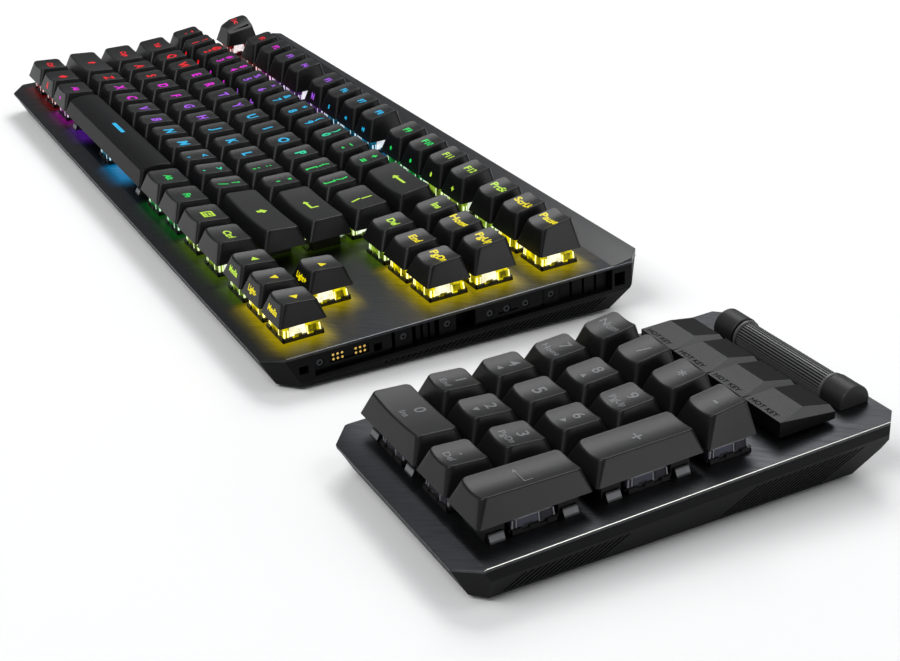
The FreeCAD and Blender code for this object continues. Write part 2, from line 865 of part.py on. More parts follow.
def dock_openings():
    """Bay, panels between its ribs, and the two peg holes in the main case's right side."""
    x = main_right
    bay = box(x - bay_depth, x + 1, bay_front_y, bay_rear_y, -bay_floor_depth, -plate_thickness)
    holes = [peg_box(y, width, height, x - peg_depth, x + 1, peg_clearance) for y, width, height in peg_sizes]
    return [bay] + holes


def peg_box(y, width, height, x0, x1, clearance):
    """Box for a docking peg or the tongue, or with a clearance for the hole it goes into."""
    z = -peg_drop
    half_y = width / 2 + clearance
    half_z = height / 2 + clearance
    return box(x0, x1, y - half_y, y + half_y, z - half_z, z + half_z)


def bay_panels():
    """Upright panels and ribs on the bay's back wall, between and behind the dock blocks."""
    face = main_right - panel_recess
    back = main_right - bay_depth - 0.5
    low = -bay_floor_depth - 0.5
    high = -plate_thickness
    panels = [box(back, face, y, y + panel_length, low, high) for y in panel_ys]
    rib_face = face - rib_step
    for start, end, count in rib_spans:
        pitch = (end - start) / count
        for index in range(count):
            y = start + pitch * index
            panels.append(box(back, rib_face, y, y + pitch - rib_gap, low, high))
    return panels


def bay_screw_places():
    """Screw heads that show in the bay: (y, face of the piece they are sunk in)."""
    block_face = main_right - dock_block_recess
    panel_face = main_right - panel_recess
    places = [(y, block_face) for y in block_screw_ys]
    return places + [(y + panel_length / 2, panel_face) for y in panel_ys]


def bay_screw_solids(radius):
    """Cylinders for the bay's screw heads or, with a clearance, for their seats."""
    deep = bay_screw_sink + bay_screw_head
    return [cylinder(radius, Vector(face - deep, y, -bay_screw_drop), Vector(1, 0, 0), deep + 1)
            for y, face in bay_screw_places()]


def dock_blocks():
    """Contact block with its slot, and the guide bar behind it, both in the bay."""
    back = main_right - bay_depth
    face = main_right - dock_block_recess
    top = -plate_thickness - block_top_gap
    low = -bay_floor_depth
    front = bay_front_y + block_end_gap
    rear = bay_front_y + contact_block_length
    contact = box(back, face, front, rear, low, top)
    lip = box(face - block_lip_depth, face + 1, front, rear, low - 1, low + block_lip_height)
    window_y = bay_front_y + window_front
    window_z = top - window_drop
    window = box(face - window_depth, face + 1, window_y, window_y + window_length,
                 window_z - window_height, window_z)
    slot = peg_box(tongue_y, tongue_width, tongue_height, back + 0.6, face + 1, peg_clearance)
    guide_rear = guide_bar_front_y + guide_bar_length
    guide = box(back, face, guide_bar_front_y, guide_rear, low, top)
    step = box(face - block_lip_depth, face + 1, guide_bar_front_y - 1, guide_rear + 1,
               low - 1, low + guide_step_height)
    groove_z = top - guide_groove_drop
    groove = box(face - guide_groove_depth, face + 1, guide_bar_front_y + guide_groove_front,
                 guide_rear - guide_groove_rear, groove_z - guide_groove_height, groove_z)
    seats = bay_screw_solids(bay_screw_diameter / 2 + 3 * screw_hole_clearance)
    return [contact.cut([lip, window, slot] + seats), guide.cut([step, groove] + seats)]


def dock_contacts():
    """Gold pins in the contact block's window, in two groups of three columns."""
    face = main_right - dock_block_recess - window_depth
    pins = []
    for group_y in (bay_front_y + 7.6, bay_front_y + 16.2):
        for column in range(3):
            for row in range(2):
                start = Vector(face, group_y + column * contact_pitch, -3.8 - row * contact_pitch)
                pins.append(cylinder(contact_diameter / 2, start, Vector(1, 0, 0), contact_height))
    return pins


def rear_port_opening(x, width, height, clearance):
    half = width / 2 + clearance
    z = pcb_top + port_height / 2
    return box(x - half, x + half, plate_rear_y - 14, plate_rear_y + 5,
               z - height / 2 - clearance, z + height / 2 + clearance)


def usb_port():
    """Metal shell of the charging and data inlet, mouth flush with the rear wall."""
    z = pcb_top + port_height / 2
    mouth = rear_wall_y(z)
    flat = Placement(Vector(port_x, mouth, z), Rotation(Vector(1, 0, 0), 90))
    outer = Part.Face(rounded_outline(port_width, port_height, port_height / 2 - 0.05, flat))
    thin = 2 * port_wall
    inner = Part.Face(rounded_outline(port_width - thin, port_height - thin,
                                      port_height / 2 - port_wall - 0.05, flat))
    shell = outer.extrude(Vector(0, -port_length, 0)).cut(inner.extrude(Vector(0, -port_length + thin, 0)))
    half_x = port_tongue_width / 2
    half_z = port_tongue_height / 2
    tongue = box(port_x - half_x, port_x + half_x, mouth - port_length + port_wall, mouth - 1.0,
                 z - half_z, z + half_z)
    return [shell.fuse(tongue)]


def mode_knob():
    """Sliding knob of the connection switch, in a slot in the rear wall."""
    z = pcb_top + port_height / 2
    mouth = rear_wall_y(z)
    knob = box(knob_x - knob_width / 2, knob_x + knob_width / 2, mouth - knob_foot_rear - 0.4,
               mouth + knob_proud, z - knob_height / 2, z + knob_height / 2)
    foot = box(knob_x - knob_width, knob_x + knob_width, mouth - knob_foot_front, mouth - knob_foot_rear,
               z - knob_foot_height / 2, z + knob_foot_height / 2)
    return [knob.fuse(foot).removeSplitter()]


def mode_switch_body():
    """Switch body on the circuit board behind the knob."""
    z = pcb_top + port_height / 2
    mouth = rear_wall_y(z)
    half = knob_width + knob_travel + mode_body_side
    return box(knob_x - half, knob_x + half, mouth - mode_body_front, mouth - mode_body_rear,
               pcb_top, z + mode_body_head)


def leg_centres():
    return [main_left + leg_inset_x, main_right - leg_inset_x]


def leg_pin_place(x):
    """Middle of a leg's pin, in the frame of the case's flat bottom."""
    return Vector(x, leg_rear_y - leg_thickness / 2, leg_sink + leg_thickness / 2)


def leg_pockets():
    """Boxes for the fold-out legs in the case's underside: walls to add, room to cut."""
    half = leg_width / 2 + leg_pocket_gap
    depth = leg_sink + leg_thickness + leg_pocket_gap / 2
    front = leg_rear_y - leg_length - leg_pocket_gap
    rear = leg_rear_y + leg_pocket_gap
    notch_half = finger_notch_width / 2
    notch_front = front - finger_notch_length
    wall = case_wall
    walls = []
    rooms = []
    for x in leg_centres():
        pocket_wall = box(x - half - wall, x + half + wall, front - wall, rear + wall, 0.2, depth + wall)
        notch_wall = box(x - notch_half - wall, x + notch_half + wall, notch_front - wall, front + 1, 0.2,
                         finger_notch_depth + wall)
        walls += [on_case_floor(pocket_wall), on_case_floor(notch_wall)]
        pocket = box(x - half, x + half, front, rear, -1, depth)
        notch = box(x - notch_half, x + notch_half, notch_front, front + 1, -1, finger_notch_depth)
        pin_half = half + leg_pin_length + 0.2
        pin_hole = cylinder(leg_pin_diameter / 2 + axle_clearance, leg_pin_place(x) - Vector(pin_half, 0, 0),
                            Vector(1, 0, 0), 2 * pin_half)
        rooms += [on_case_floor(pocket), on_case_floor(notch), on_case_floor(pin_hole)]
    return walls, rooms


def fold_out_leg(x):
    """Leg folded flat in its pocket, with a rounded pivot end and a pin on each side."""
    half = leg_width / 2
    radius = leg_thickness / 2
    pin = leg_pin_place(x)
    front = leg_rear_y - leg_length
    blade = box(x - half, x + half, front, pin.y, pin.z - radius, pin.z + radius)
    round_end = cylinder(radius, pin - Vector(half, 0, 0), Vector(1, 0, 0), leg_width)
    pin_half = half + leg_pocket_gap + leg_pin_length
    pins = cylinder(leg_pin_diameter / 2, pin - Vector(pin_half, 0, 0), Vector(1, 0, 0), 2 * pin_half)
    relief = box(x - half + leg_relief_rim, x + half - leg_relief_rim, front + leg_relief_rim,
                 pin.y - leg_relief_rear, pin.z - radius - 1, pin.z - leg_relief_skin)
    return on_case_floor(blade.fuse([round_end, pins]).removeSplitter().cut(relief))


def battery_pack():
    floor = case_floor * math.cos(tilt)
    pack = box(battery_x, battery_x + battery_length, battery_y, battery_y + battery_width,
               floor, floor + battery_height)
    return [on_case_floor(pack)]


def main_case():
    bosses = screw_places(main_left, main_right)
    inner_right = main_right - bay_depth - case_wall
    shell = case_shell(main_left, main_right, inner_right, side_knee_depth, dock_knee_depth, bosses)
    walls, rooms = leg_pockets()
    foot_xs = (main_left + foot_inset_x, main_right - foot_inset_x)
    rear_foot_xs = (foot_xs[0] + foot_length, foot_xs[1] - foot_length)
    foot_places = [(x, foot_front_y) for x in foot_xs] + [(x, foot_rear_y) for x in rear_foot_xs]
    pads, recesses = foot_pads(foot_places)
    port = rear_port_opening(port_x, port_width, port_height, port_clearance)
    slot = rear_port_opening(knob_x, knob_width + 2 * knob_travel, knob_height, knob_clearance)
    shell = shell.cut(dock_openings()).fuse(bay_panels() + walls)
    seats = bay_screw_solids(bay_screw_diameter / 2 + screw_hole_clearance)
    shell = shell.cut(rooms + recesses + [port, slot] + seats)
    hatch = hatch_cuts(main_left, -1, side_hatch_spans, side_knee_depth)
    hatch += hatch_cuts(main_right, 1, [dock_hatch_span], dock_knee_depth)
    return shell.cut(Part.makeCompound(hatch)), pads


def rear_trim():
    """Smooth ridge along the rear of the deck: narrow on the left, broad on the right."""
    rear = plate_rear_y
    crease = (trim_crease_y, trim_crease_height)
    broad = prism_along_x([(trim_wide_y, 0), crease, (rear, trim_height), (rear, 0)], main_left, main_right)
    narrow = prism_along_x([(trim_narrow_y, 0), (trim_narrow_y + 2.6, trim_height), (rear, trim_height),
                            (rear, 0)], main_left, main_right)
    step = Vector(trim_step_x, trim_narrow_y, 0)
    across = Vector(trim_narrow_y - trim_wide_y, trim_step_run, 0)
    left_side = half_space(step, Vector(-across.x, -across.y, 0))
    right_side = half_space(step, Vector(across.x, across.y, 0))
    left_only = narrow.cut(right_side)
    right_only = broad.cut(left_side)
    trim = left_only.fuse(right_only)
    for cutter in corner_cutters(main_left, main_right, -plate_front_margin, plate_rear_y, 0.0)[1::2]:
        trim = trim.cut(cutter)
    return trim


def bay_screws():
    """Small screws whose heads show in the bay."""
    screws = []
    for y, face in bay_screw_places():
        start = Vector(face - bay_screw_sink - bay_screw_head, y, -bay_screw_drop)
        head = cylinder(bay_screw_diameter / 2, start, Vector(1, 0, 0), bay_screw_head)
        socket = cylinder(0.6, start + Vector(0.4, 0, 0), Vector(1, 0, 0), bay_screw_head)
        screws.append(head.cut(socket))
    return screws


def build_main():
    keys = [key for group in main_keys.values() for key in group]
    caps = {}
    for name, group in main_keys.items():
        write_node(name, [solid for key in group for solid in key_solids(key, caps)])
    write_node("top_plate", [deck_plate(main_left, main_right, switch_openings(keys))])
    write_node("rear_trim", [rear_trim()])
    case, pads = main_case()
    write_node("base_shell", [case])
    write_node("rubber_feet", pads)
    centres = [key_centre(key) for key in keys]
    write_node("switch_bases", [moved(switch_base(), centre.x, centre.y) for centre in centres])
    cover = switch_cover()
    write_node("switch_covers", [moved(cover, centre.x, centre.y) for centre in centres])
    housings, wires = stabilizer_parts(keys)
    write_node("stabilizers", housings)
    write_node("stabilizer_wires", wires)
    board = circuit_board(main_left + 2 * case_wall, main_right - bay_depth - case_wall - 1,
                          screw_places(main_left, main_right))
    write_node("main_pcb", board + [mode_switch_body()])
    write_node("dock_blocks", dock_blocks())
    write_node("dock_contacts", dock_contacts())
    write_node("case_screws", case_screws(screw_places(main_left, main_right)) + bay_screws())
    write_node("battery", battery_pack())
    write_node("usb_port", usb_port())
    write_node("mode_switch", mode_knob())
    left_leg, right_leg = [fold_out_leg(x) for x in leg_centres()]
    write_node("leg_left", [left_leg])
    write_node("leg_right", [right_leg])


# Number pad, drawn about its own key field and then moved to the right of the main unit

def hot_key_left(index):
    middle = (pad_left + pad_right) / 2
    return middle + (index - hot_key_count / 2) * hot_key_pitch


def hot_key_centre(index):
    return Vector(hot_key_left(index) + hot_key_pitch / 2, hot_key_front_y + hot_key_depth / 2, 0)


def hot_key(index):
    """Low faceted tile on a post that passes through the plate."""
    left = hot_key_left(index) + hot_key_gap / 2
    right = left + hot_key_pitch - hot_key_gap
    front = hot_key_front_y
    rear = front + hot_key_depth
    high = hot_key_front_height
    tile = box(left, right, front, rear, hot_key_bottom, high)
    ridge = front + hot_key_ridge_run
    rear_fall = half_space(Vector(left, ridge, high), Vector(0, high - hot_key_rear_height, rear - ridge))
    across = Vector(-hot_key_facet, hot_key_ridge_run, 0)
    down = Vector(0, hot_key_depth, hot_key_corner_height - high)
    facet = half_space(Vector(right, front, high), down.cross(across))
    centre = hot_key_centre(index)
    post_bottom = -plate_thickness - hot_key_travel
    post = cylinder(hot_post_diameter / 2, Vector(centre.x, centre.y, post_bottom), Vector(0, 0, 1),
                    hot_key_bottom - post_bottom)
    return tile.cut([rear_fall, facet]).fuse(post)


def hot_key_holes():
    radius = hot_post_diameter / 2 + hot_post_clearance
    return [cylinder(radius, hot_key_centre(index) + Vector(0, 0, -plate_thickness - 1), Vector(0, 0, 1),
                     plate_thickness + 2)
            for index in range(hot_key_count)]


def roller_left():
    return (pad_left + pad_right - roller_length) / 2


def ribbed_drum(x0, x1):
    """Drum whose rim is a ring of ridges along its axis."""
    points = []
    steps = 2 * roller_ribs
    for index in range(steps):
        radius = roller_radius - (index % 2) * roller_rib_depth
        for edge in (0.1, 0.9):
            angle = 2 * math.pi * (index + edge) / steps
            y = roller_y + radius * math.cos(angle)
            points.append(Vector(x0, y, roller_z + radius * math.sin(angle)))
    face = Part.Face(Part.makePolygon(points + points[:1]))
    return face.extrude(Vector(x1 - x0, 0, 0))


def volume_roller():
    left = roller_left()
    right = left + roller_length
    axis = Vector(1, 0, 0)
    drum = ribbed_drum(left, right)
    rings = [cylinder(roller_ring_radius, Vector(x, roller_y, roller_z), axis, roller_ring_width)
             for x in (left, right - roller_ring_width)]
    axle = cylinder(axle_diameter / 2, Vector(left - axle_reach, roller_y, roller_z), axis,
                    roller_length + 2 * axle_reach)
    return drum.fuse(rings + [axle])


def roller_mounts():
    """Half-round end pieces on the plate that carry the roller's axle."""
    axis = Vector(1, 0, 0)
    mounts = []
    left = roller_left()
    right = left + roller_length
    bore_start = Vector(left - axle_bore_reach, roller_y, roller_z)
    bore = cylinder(axle_diameter / 2 + axle_clearance, bore_start, axis, roller_length + 2 * axle_bore_reach)
    for x in (left - roller_clearance - mount_length, right + roller_clearance):
        drum = cylinder(mount_radius, Vector(x, roller_y, roller_z), axis, mount_length)
        keep = box(x - 1, x + mount_length + 1, roller_y - 2 * mount_radius, roller_y + 2 * mount_radius, 0,
                   4 * mount_radius)
        mounts.append(drum.common(keep).cut(bore))
    return mounts


def roller_slot():
    reach_y = math.sqrt(roller_ring_radius ** 2 - roller_z ** 2) + roller_clearance
    left = roller_left() - roller_clearance
    return box(left, left + roller_length + 2 * roller_clearance, roller_y - reach_y, roller_y + reach_y,
               -plate_thickness - 1, 1)


def dock_pegs():
    """Two pegs and the contact tongue on the pad's left wall."""
    x = pad_left
    pegs = [
        peg_box(peg_front_y, peg_front_width, peg_front_height, x - peg_length, x, 0),
        peg_box(peg_rear_y, peg_rear_width, peg_rear_height, x - peg_length, x, 0),
        peg_box(tongue_y, tongue_width, tongue_height, x - peg_length, x, 0),
    ]
    return pegs


def pad_case():
    bosses = screw_places(pad_left, pad_right)
    shell = case_shell(pad_left, pad_right, pad_right - case_wall, 0, side_knee_depth, bosses)
    middle = (pad_left + pad_right) / 2
    pads, recesses = foot_pads([(middle, foot_front_y), (middle, foot_rear_y)])
    trough_start = Vector(roller_left() - roller_clearance, roller_y, roller_z)
    trough = cylinder(roller_ring_radius + roller_clearance, trough_start, Vector(1, 0, 0),
                      roller_length + 2 * roller_clearance)
    hatch = hatch_cuts(pad_right, 1, side_hatch_spans, side_knee_depth)
    return shell.cut(recesses).cut(trough).cut(Part.makeCompound(hatch)), pads


def tact_switches():
    """Small push switches under the hot keys' posts."""
    top = -plate_thickness - 2 * hot_key_travel - tact_switch_gap
    half = tact_switch_size / 2
    switches = []
    for index in range(hot_key_count):
        centre = hot_key_centre(index)
        switches.append(box(centre.x - half, centre.x + half, centre.y - half, centre.y + half, pcb_top, top))
    return switches


def build_pad():
    def on_pad(shapes):
        return [moved(shape, pad_x) for shape in shapes]

    keys = [key for group in pad_keys.values() for key in group]
    caps = {}
    for name, group in pad_keys.items():
        write_node(name, on_pad([solid for key in group for solid in key_solids(key, caps)]))
    holes = switch_openings(keys) + hot_key_holes() + [roller_slot()]
    write_node("pad_plate", on_pad([deck_plate(pad_left, pad_right, holes)]))
    case, pads = pad_case()
    write_node("pad_base", on_pad([case]))
    write_node("pad_feet", on_pad(pads))
    centres = [key_centre(key) for key in keys]
    write_node("pad_switch_bases", on_pad([moved(switch_base(), centre.x, centre.y) for centre in centres]))
    cover = switch_cover()
    write_node("pad_switch_covers", on_pad([moved(cover, centre.x, centre.y) for centre in centres]))
    housings, wires = stabilizer_parts(keys)
    write_node("pad_stabilizers", on_pad(housings))
    write_node("pad_stabilizer_wires", on_pad(wires))
    board = circuit_board(pad_left + 2 * case_wall, pad_right - 2 * case_wall,
                          screw_places(pad_left, pad_right))
    write_node("pad_pcb", on_pad(board + tact_switches()))
    write_node("pad_screws", on_pad(case_screws(screw_places(pad_left, pad_right))))
    write_node("dock_pegs", on_pad(dock_pegs()))
    for index in range(hot_key_count):
        write_node("hot_key_" + str(index + 1), on_pad([hot_key(index)]))
    write_node("volume_roller", on_pad([volume_roller()]))
    write_node("roller_mounts", on_pad(roller_mounts()))


os.makedirs("parts", exist_ok=True)
build_main()
build_pad()
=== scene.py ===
import math

import bmesh
import bpy
from mathutils import Matrix, Quaternion, Vector
from mathutils.bvhtree import BVHTree


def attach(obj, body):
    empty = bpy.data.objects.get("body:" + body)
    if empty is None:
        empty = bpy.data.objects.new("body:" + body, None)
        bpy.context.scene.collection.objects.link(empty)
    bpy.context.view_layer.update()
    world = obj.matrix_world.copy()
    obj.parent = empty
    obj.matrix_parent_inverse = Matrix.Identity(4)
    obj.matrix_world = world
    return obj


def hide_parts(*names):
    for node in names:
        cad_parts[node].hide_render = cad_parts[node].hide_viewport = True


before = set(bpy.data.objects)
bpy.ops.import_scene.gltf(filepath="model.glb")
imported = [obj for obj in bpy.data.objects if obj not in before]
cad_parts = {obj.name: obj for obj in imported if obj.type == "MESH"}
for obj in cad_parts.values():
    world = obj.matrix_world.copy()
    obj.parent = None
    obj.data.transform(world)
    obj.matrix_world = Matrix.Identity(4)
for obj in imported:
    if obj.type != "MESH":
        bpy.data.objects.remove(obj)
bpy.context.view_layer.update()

# Sizes in millimetres in the deck frame: X to the right, Y to the rear, Z up from the deck.
key_pitch = 19.05
function_row_gap = 8.9
cap_gap = 0.95
cap_skirt_height = 6.3
cap_wall = 1.3
cap_roof = 2.4
cap_side_inset = 2.8
cap_front_inset = 3.3
cap_rear_inset = 1.9
cap_bottom_radius = 1.0
cap_top_radius = 1.9
cap_dish = 0.9
bar_crown = 1.1
cap_edge_radius = 0.42
row_front_heights = (14.2, 14.3, 13.6, 13.7, 15.5, 16.0)
row_rear_heights = (13.1, 13.1, 13.4, 14.4, 17.0, 18.0)
stabilizer_offset = 11.9
bar_stabilizer_offset = 50.0
stem_bottom = 1.6
stem_half_size = (3.15, 2.75)
stem_shoulder = 6.5
stem_tip = 9.9
slider_half_size = (1.75, 2.25)
slider_shoulder = 8.7
slider_tip = 10.7
cross_reach = 2.0
cross_half_thickness = 0.57
plate_left = -6.0
plate_front = -9.0
plate_lit_rear = 130.0
main_right_margin = 9.3
main_right = 18.25 * key_pitch + main_right_margin
pad_gap = 49.8
pad_left_margin = 5.2
pad_right_margin = 7.8
pad_x = main_right + pad_gap + pad_left_margin
pad_right = pad_x + 4 * key_pitch + pad_right_margin
roller_left = 17.4
roller_length = 44.0
roller_y = 135.5
roller_z = 1.4
roller_ring_reach = 1.2
axle_reach = 5.6
typing_angle = math.radians(3.0)

# Lettering: heights of a capital, and how far it lies above its surface
alone_size = 4.6
first_size = 3.9
second_size = 3.4
word_size = 3.0
second_word_size = 2.6
pad_word_size = 2.3
front_size = 2.9
front_word_size = 2.1
legend_lift = 0.05
# Share of a capital's height that thickens each stroke; with more, some outlines cross.
sign_weight = 0.02
# Lit signs are laid twice, shifted by this share both ways, which makes them bolder.
strike_shift = 0.035

# The deck frame's origin on the table: the object is centred and stands on its feet.
deck_origin = Vector((-244.98125, -67.3283, 13.78314))
millimetres = Matrix.Scale(0.001, 4)
deck_to_table = millimetres @ Matrix.Translation(deck_origin) @ Matrix.Rotation(typing_angle, 4, "X")

# Key groups: every key is (x in units, row, width in units, rows deep)
def key_run(start, row, widths):
    keys = []
    for width in widths:
        keys.append((start, row, width, 1))
        start += width
    return keys


navigation_start = 15.25
main_keys = {
    "esc_key": key_run(0, 5, [1]),
    "f1_f4_keys": key_run(2, 5, [1] * 4),
    "f5_f8_keys": key_run(6.5, 5, [1] * 4),
    "f9_f12_keys": key_run(11, 5, [1] * 4),
    "print_cluster_keys": key_run(navigation_start, 5, [1] * 3),
    "number_keys": key_run(0, 4, [1] * 13),
    "backspace_key": key_run(13, 4, [2]),
    "tab_key": key_run(0, 3, [1.5]),
    "upper_letter_keys": key_run(1.5, 3, [1] * 12),
    "backslash_key": key_run(13.5, 3, [1.5]),
    "caps_lock_key": key_run(0, 2, [1.75]),
    "home_letter_keys": key_run(1.75, 2, [1] * 11),
    "enter_key": key_run(12.75, 2, [2.25]),
    "left_shift_key": key_run(0, 1, [2.25]),
    "lower_letter_keys": key_run(2.25, 1, [1] * 10),
    "right_shift_key": key_run(12.25, 1, [2.75]),
    "left_modifier_keys": key_run(0, 0, [1.25] * 3),
    "space_bar": key_run(3.75, 0, [6.25]),
    "right_modifier_keys": key_run(10, 0, [1.25] * 4),
    "navigation_keys": key_run(navigation_start, 4, [1] * 3) + key_run(navigation_start, 3, [1] * 3),
    "arrow_keys": key_run(navigation_start, 0, [1] * 3) + key_run(navigation_start + 1, 1, [1]),
}
pad_keys = {
    "pad_digit_keys": key_run(0, 1, [1] * 3) + key_run(0, 2, [1] * 3) + key_run(0, 3, [1] * 3),
    "pad_zero_key": key_run(0, 0, [2]),
    "pad_decimal_key": key_run(2, 0, [1]),
    "pad_enter_key": [(3, 0, 1, 2)],
    "pad_plus_key": [(3, 2, 1, 2)],
    "pad_operator_keys": key_run(0, 4, [1] * 4),
}

# Lettering: one string a key. A space parts two signs, the larger one first, and a word that
# starts with ":" names a drawn sign.
top_signs = {
    "esc_key": ["Esc"],
    "f1_f4_keys": ["F1", "F2", "F3", "F4"],
    "f5_f8_keys": ["F5", "F6", "F7", "F8"],
    "f9_f12_keys": ["F9", "F10", "F11", "F12"],
    "print_cluster_keys": ["PrtSc", "ScrLk", "Pause"],
    "number_keys": ["` ~", "1 !", "2 @", "3 #", "4 $", "5 %", "6 ^", "7 &", "8 *", "9 (", "0 )", "- _",
                    "= +"],
    "backspace_key": [":arrow_left"],
    "tab_key": ["Tab"],
    "upper_letter_keys": ["Q", "W", "E", "R", "T", "Y", "U", "I", "O", "P", "[ {", "] }"],
    "backslash_key": ["\\ |"],
    "caps_lock_key": ["Caps"],
    "home_letter_keys": ["A", "S", "D", "F", "G", "H", "J", "K", "L", "; :", "' \""],
    "enter_key": [":arrow_return"],
    "left_shift_key": [":arrow_up"],
    "lower_letter_keys": ["Z", "X", "C", "V", "B", "N", "M", ", <", ". >", "/ ?"],
    "right_shift_key": [":arrow_up"],
    "left_modifier_keys": ["Ctrl", ":diamond", "Alt"],
    "space_bar": [":dash"],
    "right_modifier_keys": ["Alt", "Fn", ":menu", "Ctrl"],
    "navigation_keys": ["Ins", "Home", "PgUp", "Del", "End", "PgDn"],
    "arrow_keys": [":left", ":down", ":right", ":up"],
    "pad_digit_keys": ["1 End", "2 :down", "3 PgDn", "4 :left", "5", "6 :right", "7 Home", "8 :up", "9 PgUp"],
    "pad_zero_key": ["0 Ins"],
    "pad_decimal_key": [". Del"],
    "pad_enter_key": [":arrow_thin"],
    "pad_plus_key": ["+"],
    "pad_operator_keys": ["Num", "/", "*", "-"],
}
front_signs = {
    "f5_f8_keys": ["N", ":square", ":backwards", ":play"],
    "f9_f12_keys": [":star", ":spot", ":drop", ":plus"],
    "number_keys": ["", "A", "B", ":spot", ":star", ")", "Set"],
    "left_modifier_keys": ["", "K", ":spot"],
    "arrow_keys": ["Media", "Light-", "Media", "Light+"],
}


def ten_points(outer, inner, turn=0.0):
    """Points round a middle, at two radii in turn: a star, or a spot if they are equal."""
    return [((outer, inner)[index % 2] * math.cos(index * math.pi / 5 + turn),
             (outer, inner)[index % 2] * math.sin(index * math.pi / 5 + turn)) for index in range(10)]


def slab(left, low, right, high):
    """Corners of an upright rectangle."""
    return [(left, low), (right, low), (right, high), (left, high)]


drawn_signs = {
    "up": [[(-0.5, -0.4), (0.5, -0.4), (0, 0.5)]],
    "down": [[(-0.5, 0.4), (0, -0.5), (0.5, 0.4)]],
    "left": [[(0.4, -0.5), (0.4, 0.5), (-0.5, 0)]],
    "right": [[(-0.4, -0.5), (0.5, 0), (-0.4, 0.5)]],
    "dash": [slab(-1.6, -0.16, 1.6, 0.16)],
    "diamond": [[(-0.5, 0), (0, -0.5), (0.5, 0), (0, 0.5)]],
    "square": [slab(-0.26, -0.4, 0.26, 0.4)],
    "plus": [slab(-0.1, -0.45, 0.1, 0.45), slab(-0.45, -0.1, -0.1, 0.1), slab(0.1, -0.1, 0.45, 0.1)],
    "arrow_left": [[(-1.1, 0), (-0.6, -0.3), (-0.6, -0.08), (1.1, -0.08), (1.1, 0.08), (-0.6, 0.08),
                    (-0.6, 0.3)]],
    "arrow_return": [[(-0.9, -0.25), (-0.5, -0.5), (-0.5, -0.32), (0.75, -0.32), (0.75, 0.4), (0.6, 0.4),
                      (0.6, -0.17), (-0.5, -0.17), (-0.5, 0.0)]],
    "arrow_thin": [[(-0.8, -0.25), (-0.5, -0.42), (-0.5, -0.28), (0.7, -0.28), (0.7, 0.35), (0.63, 0.35),
                    (0.63, -0.21), (-0.5, -0.21), (-0.5, -0.08)]],
    "arrow_up": [[(-0.18, -0.42), (0.18, -0.42), (0.18, 0.0), (0.45, 0.0), (0, 0.45), (-0.45, 0.0),
                  (-0.18, 0.0)]],
    "backwards": [[(0, -0.4), (0, 0.4), (-0.5, 0)], [(0.5, -0.4), (0.5, 0.4), (0, 0)]],
    "play": [[(-0.6, -0.4), (0.05, 0), (-0.6, 0.4)], slab(0.12, -0.4, 0.28, 0.4),
             slab(0.4, -0.4, 0.56, 0.4)],
    "drop": [[(-0.3, -0.25), (0, -0.5), (0.3, -0.25), (0.3, 0.15), (0, 0.5), (-0.3, 0.15)]],
    "spot": [ten_points(0.38, 0.38)],
    "star": [ten_points(0.5, 0.22, 0.3)],
    "menu": [slab(-0.6, 0.36, 0.6, 0.48), slab(-0.6, -0.48, 0.6, -0.36), slab(-0.6, -0.36, -0.48, 0.36),
             slab(0.48, -0.36, 0.6, 0.36), slab(-0.3, 0.1, 0.3, 0.22), slab(-0.3, -0.22, 0.3, -0.1)],
}

# Painted pools of lamp light on the plate: the grid that carries them, how far and how steeply they
# fade, half a lamp's size, and how much shorter they are to the left and rear and to the front.
light_cell = 2.5
light_reach = 12.5
light_fall = 1.8
lamp_half_size = 7.8
far_squeeze = 2.2
front_squeeze = 1.6

# Each zone reaches up to a key centre's x in units, and has the lamps' colour, their brightness
# and the strength of the pools painted on the plate.
light_zones = (
    (3.42, "#f01222", 0.2, 0.25), (5.38, "#e616dc", 0.22, 0.5), (7.35, "#a355e6", 0.2, 0.5),
    (10.3, "#22b4e6", 0.3, 0.8), (11.2, "#22dba6", 0.25, 0.2), (13.05, "#22dd60", 0.3, 0.2),
    (16.4, "#bde843", 0.5, 0.25), (30.0, "#f0de00", 1.0, 1.0),
)


def linear(code):
    """Linear RGBA of an sRGB hex colour."""
    parts = [int(code[place:place + 2], 16) / 255 for place in (1, 3, 5)]
    straight = [part / 12.92 if part <= 0.04045 else ((part + 0.055) / 1.055) ** 2.4 for part in parts]
    return (*straight, 1.0)


def add(tree, kind, inputs=None, **settings):
    """Adds one node with its settings; an input is a value, a socket or a list of sockets."""
    made = tree.nodes.new(kind)
    for name, value in settings.items():
        setattr(made, name, value)
    for name, value in (inputs or {}).items():
        sockets = value if isinstance(value, list) else [value]
        for socket in sockets:
            if isinstance(socket, bpy.types.NodeSocket):
                tree.links.new(socket, made.inputs[name])
            else:
                made.inputs[name].default_value = socket
    return made


# Materials

mottle_size = 18.0
cloud_size = 2.2


def surface(name):
    """A new material and its empty tree."""
    material = bpy.data.materials.new(name)
    material.use_nodes = True
    material.node_tree.nodes.clear()
    return material, material.node_tree


def principled(tree, sockets):
    """Shader with the given sockets, led to the output."""
    shader = add(tree, "ShaderNodeBsdfPrincipled", sockets)
    add(tree, "ShaderNodeOutputMaterial", {"Surface": shader.outputs["BSDF"]})


def grained(tree, grain, detail):
    """Noise with grains of a size in millimetres."""
    place = add(tree, "ShaderNodeTexCoord").outputs["Object"]
    return add(tree, "ShaderNodeTexNoise", {"Vector": place, "Scale": 1000 / grain,
                                            "Detail": detail}).outputs["Fac"]


def ranged(tree, value, low, high, start=0.0, stop=1.0):
    """A value brought from the range start to stop into the range low to high."""
    return add(tree, "ShaderNodeMapRange", {"Value": value, "From Min": start, "From Max": stop,
                                            "To Min": low, "To Max": high}).outputs["Result"]


